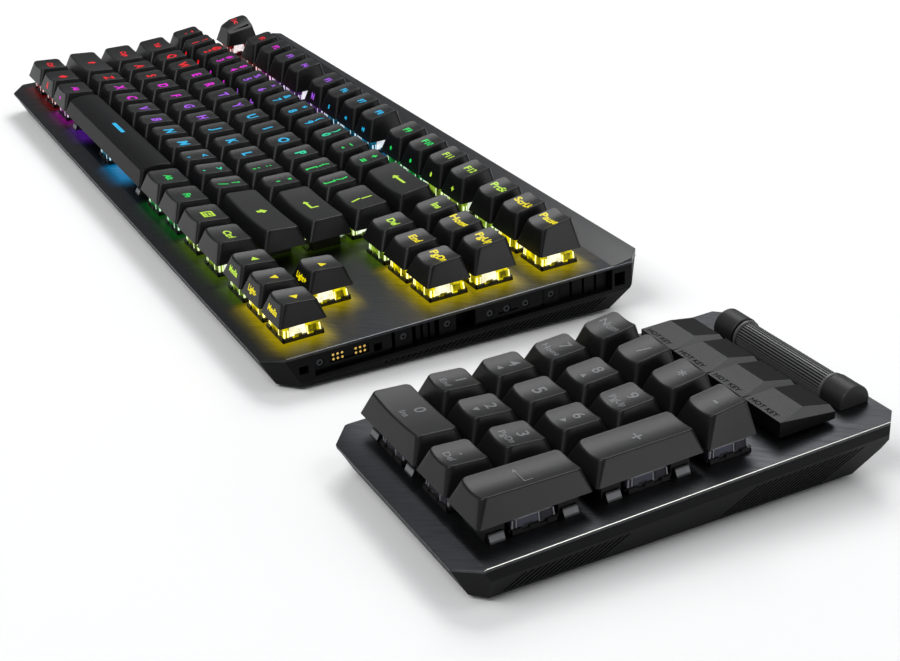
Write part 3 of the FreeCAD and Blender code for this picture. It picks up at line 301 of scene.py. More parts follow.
def blended(tree, share, first, second, **settings):
    """A colour between two others."""
    return add(tree, "ShaderNodeMix", {"Factor": share, 6: first, 7: second}, data_type="RGBA",
               **settings).outputs[2]


def moulded(name, dark, light, roughness, grain, relief, ior=1.5, specular=0.5):
    """Moulded plastic or rubber: a grain in millimetres, faint mottling and a soft sheen."""
    material, tree = surface(name)
    grains = grained(tree, grain, 3.0)
    bump = add(tree, "ShaderNodeBump", {"Height": grains, "Strength": relief, "Distance": grain / 6000})
    principled(tree, {
        "Base Color": blended(tree, grained(tree, mottle_size, 2.0), linear(dark), linear(light)),
        "Roughness": ranged(tree, grains, roughness - 0.06, roughness + 0.06),
        "Normal": bump.outputs["Normal"], "IOR": ior, "Specular IOR Level": specular})
    return material


def brushed(name, dark, light, roughness, spacing, length, direction, spill=0.0):
    """Brushed metal: hairlines of a spacing and length in millimetres, turned from X.

    Spill is the strength of the pools of lamp light painted on the metal, kept in key_light and broken up by
    the hairlines.
    """
    material, tree = surface(name)
    place = add(tree, "ShaderNodeTexCoord").outputs["Object"]
    turned = add(tree, "ShaderNodeMapping", {"Vector": place, "Rotation": (0, 0, -math.radians(direction))})
    stretched = add(tree, "ShaderNodeMapping", {"Vector": turned.outputs["Vector"],
                                                "Scale": (1000 / length, 1000 / spacing, 1000 / length)})
    lines = add(tree, "ShaderNodeTexNoise", {"Vector": stretched.outputs["Vector"], "Scale": 1.0,
                                             "Detail": 4.0, "Roughness": 0.7}).outputs["Fac"]
    bump = add(tree, "ShaderNodeBump", {"Height": lines, "Strength": 0.25, "Distance": 0.00004})
    lamp = add(tree, "ShaderNodeAttribute", attribute_name="key_light")
    painted_pool = blended(tree, ranged(tree, lines, 0.55, 1.15, 0.3, 0.7), (0, 0, 0, 1),
                        lamp.outputs["Color"], clamp_factor=False)
    principled(tree, {
        "Base Color": blended(tree, ranged(tree, lines, 0.0, 1.0, 0.3, 0.7), linear(dark), linear(light)),
        "Roughness": ranged(tree, lines, roughness + 0.08, roughness - 0.08, 0.3, 0.7), "Metallic": 1.0,
        "Normal": bump.outputs["Normal"], "Emission Color": painted_pool, "Emission Strength": spill})
    return material


def metal(name, dark, light, roughness, grain):
    """Machined or plated metal with slight stains."""
    material, tree = surface(name)
    stains = grained(tree, grain, 3.0)
    principled(tree, {"Base Color": blended(tree, stains, linear(dark), linear(light)), "Metallic": 1.0,
                      "Roughness": ranged(tree, stains, roughness - 0.08, roughness + 0.08)})
    return material


def lit(name, strength, whiteness, unevenness):
    """Clear plastic that glows in the colour of its key's lamp, whiter where it is hottest."""
    material, tree = surface(name)
    lamp = add(tree, "ShaderNodeAttribute", attribute_name="key_light")
    level = ranged(tree, grained(tree, cloud_size, 1.0), 1.0 - unevenness, 1.0, 0.35, 0.65)
    hot = blended(tree, whiteness, lamp.outputs["Color"], (1, 1, 1, 1))
    principled(tree, {
        "Base Color": linear("#0a0a0b"), "Roughness": 0.4, "IOR": 1.58, "Specular IOR Level": 0.2,
        "Emission Color": blended(tree, level, (0, 0, 0, 1), hot), "Emission Strength": strength})
    return material


# Moulded ABS, fine matt spark texture: near black with a soft grey sheen on its dished tops.
cap_plastic = moulded("matt moulded ABS", "#0a0a0b", "#0e0e0f", 0.36, 0.5, 0.1, specular=0.3)
# The long bar: the same plastic drawn deeper black with less sheen, as painted shade on its crowned top.
bar_shaded_plastic = moulded("moulded ABS of the bar, darkened as painted shade", "#060607", "#09090a", 0.4, 0.5, 0.1, specular=0.14)
# The pad's caps: the same plastic drawn slightly greyer, with a little less sheen.
pad_cap_plastic = moulded("matt moulded ABS of the pad", "#0f0f10", "#141415", 0.37, 0.5, 0.12, specular=0.26)
# The clear second shot of the caps, lit from below: flat glowing signs.
sign_plastic = lit("lit clear ABS lettering", 1.05, 0.0, 0.1)
# The same lettering with no light behind it, on the undocked pad: dull grey.
dull_sign_plastic = moulded("unlit clear ABS lettering", "#5c5e60", "#6a6c6e", 0.5, 0.8, 0.1)
# Acetal stems under the caps: waxy near-black.
stem_plastic = moulded("acetal stem", "#161617", "#1e1e1f", 0.4, 0.8, 0.1)
# The cap's skirt rim, seen only from below, drawn glowing: a painted glow that spills the lamp's light out
# under the cap's skirt.
painted_skirt_glow = lit("painted glow under the skirt", 4.0, 0.0, 0.0)
# Brushed anodised aluminium: dark gunmetal with diagonal hairlines. The real lines are about
# 0.1 mm apart; they are drawn 0.5 mm apart so that they show.
plate_metal = brushed("brushed anodised aluminium", "#333436", "#494a4d", 0.4, 0.5, 14.0, 46.0)
# The main plate: the same metal drawn darker as painted shade, with pools of the lamps' colours painted on it
# and broken up by its hairlines.
pool_painted_plate_metal = brushed("brushed aluminium with painted lamp pools", "#26272a", "#38393b", 0.4, 0.5, 14.0,
                          46.0, spill=1.0)
# Diamond-cut edge of the plate, polished through the anodising: a bright thin line.
cut_edge_metal = metal("diamond-cut aluminium edge", "#d8d7d0", "#f4f3ec", 0.3, 3.0)
# The main plate's cut edge: the same cut drawn grey, darker than the pad's, as painted shade: a thin grey
# line.
shaded_edge_metal = metal("cut edge darkened as painted shade", "#6a6c70", "#808286", 0.35, 3.0)
# Satin lacquered ABS of the rear trim: smooth dark blue-grey.
trim_plastic = moulded("satin lacquered ABS", "#0f1013", "#131418", 0.3, 1.2, 0.05, specular=0.4)
# Spark-textured ABS of the cases: dull black.
case_plastic = moulded("spark-textured ABS", "#040405", "#070808", 0.5, 0.6, 0.25, specular=0.1)
# Glass-filled nylon of the lower switch housings: dull, almost black.
housing_nylon = moulded("glass-filled nylon", "#0a0a0b", "#111112", 0.5, 0.6, 0.15)
# Nylon of the stabilisers: black blocks whose slanted clips catch the light; the tabs' light grey is a
# painted highlight.
stabilizer_nylon = moulded("black nylon", "#101011", "#161617", 0.45, 0.6, 0.15)
tab_highlight_nylon = moulded("nylon tab with painted highlight", "#606163", "#7c7d7f", 0.4, 0.6, 0.15)
# Moulded polycarbonate over the lamps, seen lit: bright frame, hotter panes, a shaded lamp.
lit_frame = lit("lit polycarbonate", 1.1, 0.0, 0.65)
lit_pane = lit("lit polycarbonate pane", 1.5, 0.6, 0.35)
lit_shade = lit("shaded lamp behind polycarbonate", 0.35, 0.0, 0.7)
lit_ridge = lit("lit polycarbonate edge", 2.4, 0.3, 0.1)
# The same polycarbonate unlit on the pad: smoky, with cool highlights painted in: lighter bluish panes and
# light grey edge ridges.
dark_frame = moulded("smoked polycarbonate", "#2a2a2f", "#48484e", 0.15, 1.0, 0.1, ior=1.58)
dark_pane_highlight = moulded("smoked polycarbonate pane with painted highlight", "#3c3c4c", "#62626e", 0.2, 1.0, 0.1, ior=1.58)
dark_ridge_highlight = moulded("painted highlight on smoked polycarbonate edge", "#86868c", "#a2a2a8", 0.15, 1.0, 0.1, ior=1.58)
# Drawn spring steel: bright wire.
wire_steel = metal("drawn spring steel", "#8b8d90", "#b5b7ba", 0.3, 2.0)
# Black oxide screws: dark, slightly shiny.
screw_steel = metal("black oxide steel", "#2a2b2d", "#3d3e41", 0.35, 1.5)
# Gold plating on the dock contacts.
contact_gold = metal("gold plating", "#d8a844", "#f0cf7c", 0.25, 1.0)
# Solder mask over glass-fibre board: dark green, glossy.
board_mask = moulded("solder mask", "#0a2417", "#0f3220", 0.25, 1.5, 0.1)
# Foil sleeve round the battery.
battery_foil = metal("battery foil", "#8c8e92", "#a6a8ac", 0.35, 4.0)
# Silicone rubber feet: soft dark grey.
foot_rubber = moulded("silicone rubber", "#121213", "#18181a", 0.75, 0.6, 0.3, ior=1.43)
# Coarse-grained ABS on the tiles' tops, smooth ABS on their rear facets and steep sides, drawn darker as
# painted shade; faces turned to the right are drawn lighter as painted light.
tile_grain = moulded("coarse-grained ABS", "#1f1f20", "#323233", 0.55, 0.7, 1.2, specular=0.4)
tile_facet_shade = moulded("smooth ABS facet, darkened as painted shade", "#060607", "#09090a", 0.4, 1.0, 0.05, specular=0.12)
tile_wedge_light = moulded("satin ABS wedge, lightened as painted light", "#343435", "#404041", 0.45, 0.8, 0.1)
# Matt ABS of the roller's two mounts.
mount_plastic = moulded("matt ABS of the roller's mounts", "#141415", "#1a1a1b", 0.5, 0.6, 0.2, specular=0.35)
# The raised lettering of the tiles, drawn flat: only the shade round it is seen.
raised_shade = moulded("shade round raised lettering", "#030303", "#050505", 0.7, 0.6, 0.1, specular=0.05)
# Ribbed thermoplastic rubber on the roller.
roller_rubber = moulded("ribbed thermoplastic rubber", "#464647", "#545455", 0.4, 0.5, 0.2)
# The floor of the grooves between the ribs lies in the dark.
groove_rubber = moulded("grooves of the ribbed rubber", "#030303", "#060606", 0.6, 0.5, 0.2, specular=0.2)


# Meshes

def new_object(name, mesh, materials):
    for material in materials:
        mesh.materials.append(material)
    made = bpy.data.objects.new(name, mesh)
    bpy.context.scene.collection.objects.link(made)
    return made


def weighted(made, angle=35):
    """Smooth shading in which the large flat faces keep their own direction."""
    made.data.shade_smooth()
    made.data.set_sharp_from_angle(angle=math.radians(angle))
    steady = made.modifiers.new("face weights", "WEIGHTED_NORMAL")
    steady.keep_sharp = True
    steady.weight = 80
    return made


def softened(node_name, name, width, materials, body, angle=25):
    """Merged copy of a CAD node with rounded edges, which stands for the node."""
    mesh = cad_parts[node_name].data.copy()
    mesh.materials.clear()
    work = bmesh.new()
    work.from_mesh(mesh)
    bmesh.ops.remove_doubles(work, verts=work.verts, dist=2e-6)
    bmesh.ops.dissolve_limit(work, angle_limit=math.radians(1), verts=work.verts, edges=work.edges)
    bmesh.ops.recalc_face_normals(work, faces=work.faces)
    sharp = [edge for edge in work.edges if len(edge.link_faces) == 2
             and edge.calc_face_angle(0) > math.radians(angle)]
    bmesh.ops.bevel(work, geom=sharp, offset=width / 1000, segments=2, profile=0.5, affect="EDGES",
                    clamp_overlap=True, material=-1)
    work.to_mesh(mesh)
    work.free()
    made = new_object(name, mesh, materials)
    weighted(made, angle)
    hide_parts(node_name)
    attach(made, body)
    return made


def rows_y(row):
    return row * key_pitch + (function_row_gap if row == 5 else 0.0)


def key_centre(key):
    x, row, width, rows = key
    return Vector(((x + width / 2) * key_pitch, rows_y(row) + rows * key_pitch / 2, 0.0))


def light_zone(key):
    """Colour, brightness and painted pool strength of a key's lamp.

    The zones lean to the left on the front row and at the left end of the function row.
    """
    place = key[0] + key[2] / 2
    if key[1] == 0:
        place += 0.6
    if key[1] == 5 and place < 7:
        place += 0.9
    return next(zone[1:] for zone in light_zones if place < zone[0])


def lamp_colour(key):
    """Colour and brightness of the lamp under a key."""
    code, level, _ = light_zone(key)
    return linear(code), level


def spill_colour(key):
    """Deeper and fainter colour of the light that leaves below a cap."""
    colour, level = lamp_colour(key)
    return tuple(level ** 2 * part ** 1.5 for part in colour[:3]) + (1.0,)


def painted_pool_colour(key):
    """Colour of the pool of a key's lamp light painted on the plate beside it."""
    code, _, spread = light_zone(key)
    return [0.5 * spread * part ** 1.5 for part in linear(code)[:3]]


class CapShape:
    """Outer form of one key cap about its own centre."""

    def __init__(self, key):
        self.crowned = key[2] > 3
        self.half_x = (key[2] * key_pitch - cap_gap) / 2
        self.half_y = (key[3] * key_pitch - cap_gap) / 2
        self.top_half_x = self.half_x - cap_side_inset
        self.top_half_y = self.half_y - (cap_front_inset + cap_rear_inset) / 2
        self.shift = (cap_front_inset - cap_rear_inset) / 2
        self.front = row_front_heights[key[1]]
        self.rear = row_rear_heights[key[1]]
        if self.crowned:
            self.front = self.rear = (self.front + self.rear) / 2

    def plane(self, y):
        """Height of the sloping plane through the top's edges."""
        middle = (self.front + self.rear) / 2
        return middle + (self.rear - self.front) * (y - self.shift) / (2 * self.top_half_y)

    def top(self, x, y):
        """Height of the dished or crowned top."""
        if self.crowned:
            return self.plane(y) - bar_crown * ((y - self.shift) / self.top_half_y) ** 2
        return self.plane(y) - cap_dish * max(0.0, 1 - (x / self.top_half_x) ** 2)

    def outline(self, level, inset=0.0):
        """Rounded rectangle at a level between the skirt (0) and the top's corners (1)."""
        half_x = self.half_x + (self.top_half_x - self.half_x) * level - inset
        half_y = self.half_y + (self.top_half_y - self.half_y) * level - inset
        radius = max(cap_bottom_radius + (cap_top_radius - cap_bottom_radius) * level - inset, 0.25)
        middle = self.shift * level
        points = []
        corners = ((1, 1, 0), (-1, 1, 1), (-1, -1, 2), (1, -1, 3))
        for index, (sx, sy, quarter) in enumerate(corners):
            cx = sx * (half_x - radius)
            cy = sy * (half_y - radius)
            for step in range(5):
                angle = (quarter + step / 4) * math.pi / 2
                points.append((cx + radius * math.cos(angle), middle + cy + radius * math.sin(angle)))
            nx, ny = corners[(index + 1) % 4][:2]
            end_angle = (quarter + 1) * math.pi / 2
            start = (cx + radius * math.cos(end_angle), cy + radius * math.sin(end_angle))
            stop = (nx * (half_x - radius) + radius * math.cos(end_angle),
                    ny * (half_y - radius) + radius * math.sin(end_angle))
            divisions = 7 if quarter % 2 == 0 else 4
            for step in range(1, divisions):
                share = step / divisions
                points.append((start[0] + (stop[0] - start[0]) * share,
                               middle + start[1] + (stop[1] - start[1]) * share))
        return points

    def wall(self, low, high, share):
        """Point on the wall between a skirt point and the top edge above it."""
        edge_height = self.top(*high)
        reach = share * (edge_height - cap_skirt_height) / (self.plane(high[1]) - cap_skirt_height)
        return Vector((low[0] + (high[0] - low[0]) * reach, low[1] + (high[1] - low[1]) * reach,
                       cap_skirt_height + (edge_height - cap_skirt_height) * share))


def skin(work, rings, material_index=0):
    """Faces between rings of equal length, each given as BMesh vertices."""
    for lower, upper in zip(rings, rings[1:]):
        count = len(lower)
        for index in range(count):
            after = (index + 1) % count
            face = work.faces.new((lower[index], lower[after], upper[after], upper[index]))
            face.material_index = material_index


def add_box(work, low, high, material_index):
    corners = [work.verts.new((x, y, z)) for z in (low[2], high[2]) for y in (low[1], high[1])
               for x in (low[0], high[0])]
    for a, b, c, d in ((0, 2, 3, 1), (4, 5, 7, 6), (0, 1, 5, 4), (2, 6, 7, 3), (0, 4, 6, 2), (1, 3, 7, 5)):
        face = work.faces.new((corners[a], corners[b], corners[c], corners[d]))
        face.material_index = material_index


def stabilizer_step(key):
    """Way from a long key's middle to its right or rear stabiliser; zero for a short key."""
    if key[3] > 1:
        return Vector((0, stabilizer_offset, 0))
    if key[2] > 3:
        return Vector((bar_stabilizer_offset, 0, 0))
    return Vector((stabilizer_offset if key[2] >= 2 else 0, 0, 0))


def add_cap(work, lights, key):
    """Hollow cap with rounded edges and its stems, drawn at the key's place."""
    shape = CapShape(key)
    place = key_centre(key)
    low = shape.outline(0)
    high = shape.outline(1)
    height = shape.plane(shape.shift) - cap_skirt_height
    rings = []

    def ring(points):
        rings.append([work.verts.new(place + Vector(point)) for point in points])

    for share in (0.0, 0.5, 1 - 2.2 * cap_edge_radius / height):
        ring([shape.wall(a, b, share) for a, b in zip(low, high)])
    inside = shape.outline(1, cap_edge_radius)
    for step in (0.0, 0.25, 0.5, 0.75, 1.0):
        points = []
        for a, b, c in zip(low, high, inside):
            start = shape.wall(a, b, 1 - cap_edge_radius / height)
            corner = shape.wall(a, b, 1.0)
            end = Vector((c[0], c[1], shape.top(c[0], c[1])))
            points.append(start * (1 - step) ** 2 + corner * 2 * step * (1 - step) + end * step ** 2)
        ring(points)
    for share in (0.95, 0.86, 0.74, 0.62, 0.5, 0.38, 0.26, 0.14):
        flat = [(x * share, shape.shift + (y - shape.shift) * share) for x, y in inside]
        ring([(x, y, shape.top(x, y)) for x, y in flat])
    skin(work, rings)
    middle = work.verts.new(place + Vector((0, shape.shift, shape.top(0, shape.shift))))
    last = rings[-1]
    for index in range(len(last)):
        work.faces.new((last[index], last[(index + 1) % len(last)], middle))
    inner_low = shape.outline(0, cap_wall)
    inner_high = shape.outline(0.5, cap_wall)
    ceiling = min(shape.front, shape.rear) - cap_roof
    outer_ring = rings[0]
    inner_rings = [[work.verts.new(place + Vector((x, y, cap_skirt_height))) for x, y in inner_low],
                   [work.verts.new(place + Vector((x, y, ceiling))) for x, y in inner_high]]
    skin(work, [inner_rings[1], inner_rings[0]])
    # The skirt's bottom rim takes finish 3, the painted glow of the lamp's light under the cap.
    skin(work, [inner_rings[0], outer_ring], 3)
    work.faces.new(list(reversed(inner_rings[1])))
    for vertex in inner_rings[0] + outer_ring:
        vertex[lights] = spill_colour(key)
    stem_places = [(place, *stem_half_size, stem_shoulder, stem_tip)]
    step = stabilizer_step(key)
    if step.length:
        wide, deep = reversed(slider_half_size) if key[3] > 1 else slider_half_size
        stem_places += [(place + step * side, wide, deep, slider_shoulder, slider_tip) for side in (-1, 1)]
    for spot, wide, deep, shoulder, tip in stem_places:
        add_box(work, spot + Vector((-wide, -deep, stem_bottom)), spot + Vector((wide, deep, shoulder)), 1)
        for x, y in ((cross_reach, cross_half_thickness), (cross_half_thickness, cross_reach)):
            add_box(work, spot + Vector((-x, -y, shoulder)), spot + Vector((x, y, tip)), 1)
    return shape


written = {}


def sign_polygons(sign):
    """Outlines of a sign about its own middle, one unit being a capital's height."""
    if sign[1:] in drawn_signs:
        return drawn_signs[sign[1:]]
    if sign not in written:
        curve = bpy.data.curves.new("lettering", "FONT")
        curve.body = sign
        curve.align_x = "CENTER"
        curve.size = 1.38
        curve.resolution_u = 3
        curve.offset = sign_weight
        text = bpy.data.objects.new("lettering", curve)
        bpy.context.scene.collection.objects.link(text)
        flat = bpy.data.meshes.new_from_object(text)
        middle = 0.5
        written[sign] = [[(flat.vertices[index].co.x * 1.15, flat.vertices[index].co.y - middle)
                          for index in polygon.vertices] for polygon in flat.polygons]
        bpy.data.meshes.remove(flat)
        bpy.data.objects.remove(text)
        bpy.data.curves.remove(curve)
    return written[sign]


def add_sign(work, lights, colour, sign, size, position, material_index=2, strikes=(0.0,)):
    """Lays a sign on a surface; position gives the point for sideways and upward offsets.

    Strikes are shifts, in capitals' heights, at which the sign is laid again to thicken its lines.
    """
    for shift in strikes:
        corners = {}
        for polygon in sign_polygons(sign):
            points = []
            for u, v in polygon:
                mark = (round(u, 5), round(v, 5))
                if mark not in corners:
                    corners[mark] = work.verts.new(position((u + shift) * size, (v + shift) * size))
                    corners[mark][lights] = colour
                points.append(corners[mark])
            if len(set(points)) > 2:
                face = work.faces.new(points)
                face.material_index = material_index


def add_signs(work, lights, key, shape, top_sign, front_sign, on_pad):
    place = key_centre(key)
    colour = lamp_colour(key)[0]

    def on_top(y):
        return lambda u, v: place + Vector((u, y + v, shape.top(u, y + v) + legend_lift))

    def on_front(u, v):
        z = 10.0 + v
        run = (z - cap_skirt_height) / (shape.front - cap_skirt_height)
        y = -shape.half_y + cap_front_inset * run
        return place + Vector((u, y - legend_lift, z))

    signs = top_sign.split(" ")
    if len(signs) == 2:
        side = 1 if on_pad else -1
        small_size = pad_word_size if on_pad else second_word_size
        size = small_size if len(signs[1]) > 1 else second_size
        laid = [(signs[0], first_size, on_top(shape.shift + side * 2.3)),
                (signs[1], size, on_top(shape.shift - side * 3.0))]
    else:
        is_arrow = top_sign[1:] in ("up", "down", "left", "right")
        is_large = len(top_sign) < 2 or top_sign[1:] in drawn_signs
        size = alone_size if is_large and not is_arrow else word_size
        laid = [(top_sign, size, on_top(shape.shift + 0.3))]
    if front_sign:
        laid.append((front_sign, front_word_size if len(front_sign) > 1 else front_size, on_front))
    strikes = (0.0,) if on_pad else (-strike_shift, strike_shift)
    for sign, size, position in laid:
        add_sign(work, lights, colour, sign, size, position, strikes=strikes)


def make_keys(groups, on_pad, offset):
    for name, keys in groups.items():
        if name == "esc_key":
            continue
        work = bmesh.new()
        lights = work.verts.layers.float_color.new("key_light")
        shapes = [add_cap(work, lights, key) for key in keys]
        bmesh.ops.recalc_face_normals(work, faces=work.faces)
        for index, (key, shape) in enumerate(zip(keys, shapes)):
            fronts = front_signs.get(name, [])
            front = fronts[index] if index < len(fronts) else ""
            add_signs(work, lights, key, shape, top_signs[name][index], front, on_pad)
        bmesh.ops.translate(work, verts=work.verts, vec=(offset, 0, 0))
        mesh = bpy.data.meshes.new(name)
        work.to_mesh(mesh)
        work.free()
        mesh.transform(deck_to_table)
        finishes = [cap_plastic, stem_plastic, sign_plastic, painted_skirt_glow]
        if name == "space_bar":
            finishes[0] = bar_shaded_plastic
        if on_pad:
            finishes = [pad_cap_plastic, stem_plastic, dull_sign_plastic, pad_cap_plastic]
        made = new_object(name + "_caps", mesh, finishes)
        weighted(made)
        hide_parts(name)
        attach(made, name)


make_keys(main_keys, False, 0.0)
make_keys(pad_keys, True, pad_x)

# The faceted corner key keeps its CAD form with rounded edges; its lettering is laid on it.
corner_key = main_keys["esc_key"][0]
corner_cap = softened("esc_key", "esc_key_cap", 0.3, [cap_plastic, painted_skirt_glow], "esc_key",
                      angle=40)
# The skirt's downward faces take the painted glow of the lamp's light under the cap.
skirt_level = (deck_to_table @ (key_centre(corner_key) + Vector((0, 0, cap_skirt_height + 0.5)))).z
spill = corner_cap.data.attributes.new("key_light", "FLOAT_COLOR", "POINT")
for item in spill.data:
    item.color = spill_colour(corner_key)
for face in corner_cap.data.polygons:
    if face.normal.z < -0.9 and skirt_level - 0.0015 < face.center.z < skirt_level + 0.0008:
        face.material_index = 1


def draped_sign(sign, size, ground, middle, colour, material, body):
    """Lays a sign from above on a finished piece, about a point of the deck frame."""
    surface_tree = BVHTree.FromPolygons([vertex.co for vertex in ground.data.vertices],
                                        [face.vertices for face in ground.data.polygons])
    upward = (deck_to_table.to_3x3() @ Vector((0, 0, 1))).normalized()

    def landed(u, v):
        above = deck_to_table @ (middle + Vector((u, v, 40.0)))
        return surface_tree.ray_cast(above, -upward)[0] + upward * (legend_lift / 1000)

    signs = bmesh.new()
    lights = signs.verts.layers.float_color.new("key_light")
    add_sign(signs, lights, colour, sign, size, landed, material_index=0)
    mesh = bpy.data.meshes.new(body + "_lettering")
    signs.to_mesh(mesh)
    signs.free()
    lettering = new_object(body + "_lettering", mesh, [material])
    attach(lettering, body)


draped_sign("Esc", 3.0, corner_cap, key_centre(corner_key) + Vector((-1.0, 0.6, 0)),
            lamp_colour(corner_key)[0], sign_plastic, "esc_key")

# Switch housings by Geometry Nodes

def maths(tree, operation, *values):
    """A sum of numbers or sockets."""
    return add(tree, "ShaderNodeMath", dict(enumerate(values)), operation=operation).outputs[0]


def point_tree(name, counts, sizes):
    """Tree that takes points, counts and sizes, and the sockets that give them."""
    tree = bpy.data.node_groups.new(name, "GeometryNodeTree")
    tree.interface.new_socket("Geometry", in_out="INPUT", socket_type="NodeSocketGeometry")
    for names, kind in ((counts, "NodeSocketInt"), (sizes, "NodeSocketFloat")):
        for socket_name in names:
            tree.interface.new_socket(socket_name, in_out="INPUT", socket_type=kind)
    tree.interface.new_socket("Geometry", in_out="OUTPUT", socket_type="NodeSocketGeometry")
    return tree, add(tree, "NodeGroupInput").outputs


def housing_tree(name, blocks, finishes):
    """Tree that sets tapered blocks on every point; each block is (low, high, finish).

    Widths are shares of the housing's, from its foot to its head; the larger Taper is, the
    nearer to the top a block narrows.
    """
    tree, given = point_tree(name, (), ("Foot", "Head Width", "Head Depth", "Low", "High", "Taper"))
    pieces = []
    for low, high, finish in blocks:
        size = tuple(top - bottom for bottom, top in zip(low, high))
        centre = tuple((top + bottom) / 2 for bottom, top in zip(low, high))
        cube = add(tree, "GeometryNodeMeshCube", {"Size": size})
        set_off = add(tree, "GeometryNodeTransform", {"Geometry": cube.outputs["Mesh"],
                                                      "Translation": centre})
        tagged = add(tree, "GeometryNodeStoreNamedAttribute",
                     {"Geometry": set_off.outputs["Geometry"], "Name": "finish", "Value": finish},
                     data_type="INT", domain="FACE")
        pieces.append(tagged.outputs["Geometry"])
    joined = add(tree, "GeometryNodeJoinGeometry", {"Geometry": pieces})
    place = add(tree, "ShaderNodeSeparateXYZ", {"Vector": add(tree, "GeometryNodeInputPosition").outputs[0]})
    drawn = []
    share = maths(tree, "POWER", place.outputs["Z"], given["Taper"])
    for axis, head in (("X", "Head Width"), ("Y", "Head Depth")):
        growth = maths(tree, "SUBTRACT", given[head], given["Foot"])
        width = maths(tree, "MULTIPLY_ADD", growth, share, given["Foot"])
        drawn.append(maths(tree, "MULTIPLY", width, place.outputs[axis]))
    tall = maths(tree, "SUBTRACT", given["High"], given["Low"])
    level = maths(tree, "MULTIPLY_ADD", tall, place.outputs["Z"], given["Low"])
    target = add(tree, "ShaderNodeCombineXYZ", {"X": drawn[0], "Y": drawn[1], "Z": level})
    tapered = add(tree, "GeometryNodeSetPosition", {"Geometry": joined.outputs["Geometry"],
                                                    "Position": target.outputs["Vector"]})
    spread = add(tree, "GeometryNodeInstanceOnPoints", {"Points": given["Geometry"],
                                                        "Instance": tapered.outputs["Geometry"]})
    result = add(tree, "GeometryNodeRealizeInstances", {"Geometry": spread.outputs["Instances"]})
    for index, material in enumerate(finishes):
        tag = add(tree, "GeometryNodeInputNamedAttribute", {"Name": "finish"}, data_type="INT")
        chosen = add(tree, "FunctionNodeCompare", {2: tag.outputs["Attribute"], 3: index}, data_type="INT",
                     operation="EQUAL")
        result = add(tree, "GeometryNodeSetMaterial", {"Geometry": result.outputs["Geometry"],
                                                       "Selection": chosen.outputs["Result"],
                                                       "Material": material})
    add(tree, "NodeGroupOutput", {"Geometry": result.outputs["Geometry"]})
    return tree


def grown(name, points, tree, sizes, colours=None):
    """Plain mesh that a tree makes from points, in millimetres of the deck frame."""
    seeds = bpy.data.meshes.new(name + "_points")
    seeds.from_pydata([tuple(point) for point in points], [], [])
    if colours:
        lights = seeds.attributes.new("key_light", "FLOAT_COLOR", "POINT")
        for index, colour in enumerate(colours):
            lights.data[index].color = colour
    holder = bpy.data.objects.new(name + "_points", seeds)
    bpy.context.scene.collection.objects.link(holder)
    grow = holder.modifiers.new("grow", "NODES")
    grow.node_group = tree
    for item in tree.interface.items_tree:
        if item.in_out == "INPUT" and item.name in sizes:
            grow[item.identifier] = sizes[item.name]
    mesh = bpy.data.meshes.new_from_object(holder.evaluated_get(bpy.context.evaluated_depsgraph_get()))
    bpy.data.objects.remove(holder)
    mesh.name = name
    mesh.transform(deck_to_table)
    return new_object(name, mesh, [])


def both_sides(low, high, finish):
    """A block on the right side and its copy on the left."""
    return [(low, high, finish), ((-high[0], low[1], low[2]), (-low[0], high[1], high[2]), finish)]


def four_sides(low, high, finish):
    """The same block on all four sides."""
    blocks = both_sides(low, high, finish)
    blocks.append(((low[1], low[0], low[2]), (high[1], high[0], high[2]), finish))
    blocks.append(((low[1], -high[0], low[2]), (high[1], -low[0], high[2]), finish))
    return blocks


# The lower housing: its flange, its walls below the plate and small bumps. It is hollow, so
# that a pressed stem has room.
base_blocks = four_sides((0.25, -0.5, 0.0), (0.5, 0.5, 1.0), 0)
base_blocks += four_sides((0.25, -0.442, -5.0), (0.442, 0.442, 0.0), 0)
for start in (-0.46, -0.1, 0.26):
    base_blocks += four_sides((0.45, start, 0.2), (0.51, start + 0.2, 1.75), 0)
# The clear housing: finish 0 is its frame, 1 a pane, 2 a shaded lamp and 3 a bright ridge.
cover_blocks = four_sides((0.44, -0.5, 0.0), (0.5, 0.5, 0.66), 0)
cover_blocks += four_sides((0.43, -0.5, 0.66), (0.5, 0.5, 1.0), 0)
cover_blocks += both_sides((0.297, -0.43, 0.8), (0.43, 0.43, 1.0), 0)
cover_blocks += [((-0.297, -0.43, 0.8), (0.297, -0.287, 1.0), 0),
                 ((-0.297, 0.287, 0.8), (0.297, 0.43, 1.0), 0)]
cover_blocks += both_sides((0.49, -0.36, 0.16), (0.504, 0.1, 0.66), 1)
cover_blocks += both_sides((0.49, -0.36, 0.66), (0.504, 0.1, 0.97), 1)
cover_blocks += four_sides((0.49, -0.22, 0.0), (0.508, -0.02, 0.26), 2)
cover_blocks += four_sides((0.49, 0.19, 0.14), (0.506, 0.39, 0.66), 2)
for edge in (-0.5, -0.41, 0.12, 0.47):
    cover_blocks += four_sides((0.49, edge, 0.0), (0.507, edge + 0.03, 0.66), 3)
base_tree = housing_tree("lower switch housing", base_blocks, [housing_nylon])
cover_tree = housing_tree("clear switch housing", cover_blocks, [lit_frame, lit_pane, lit_shade, lit_ridge])
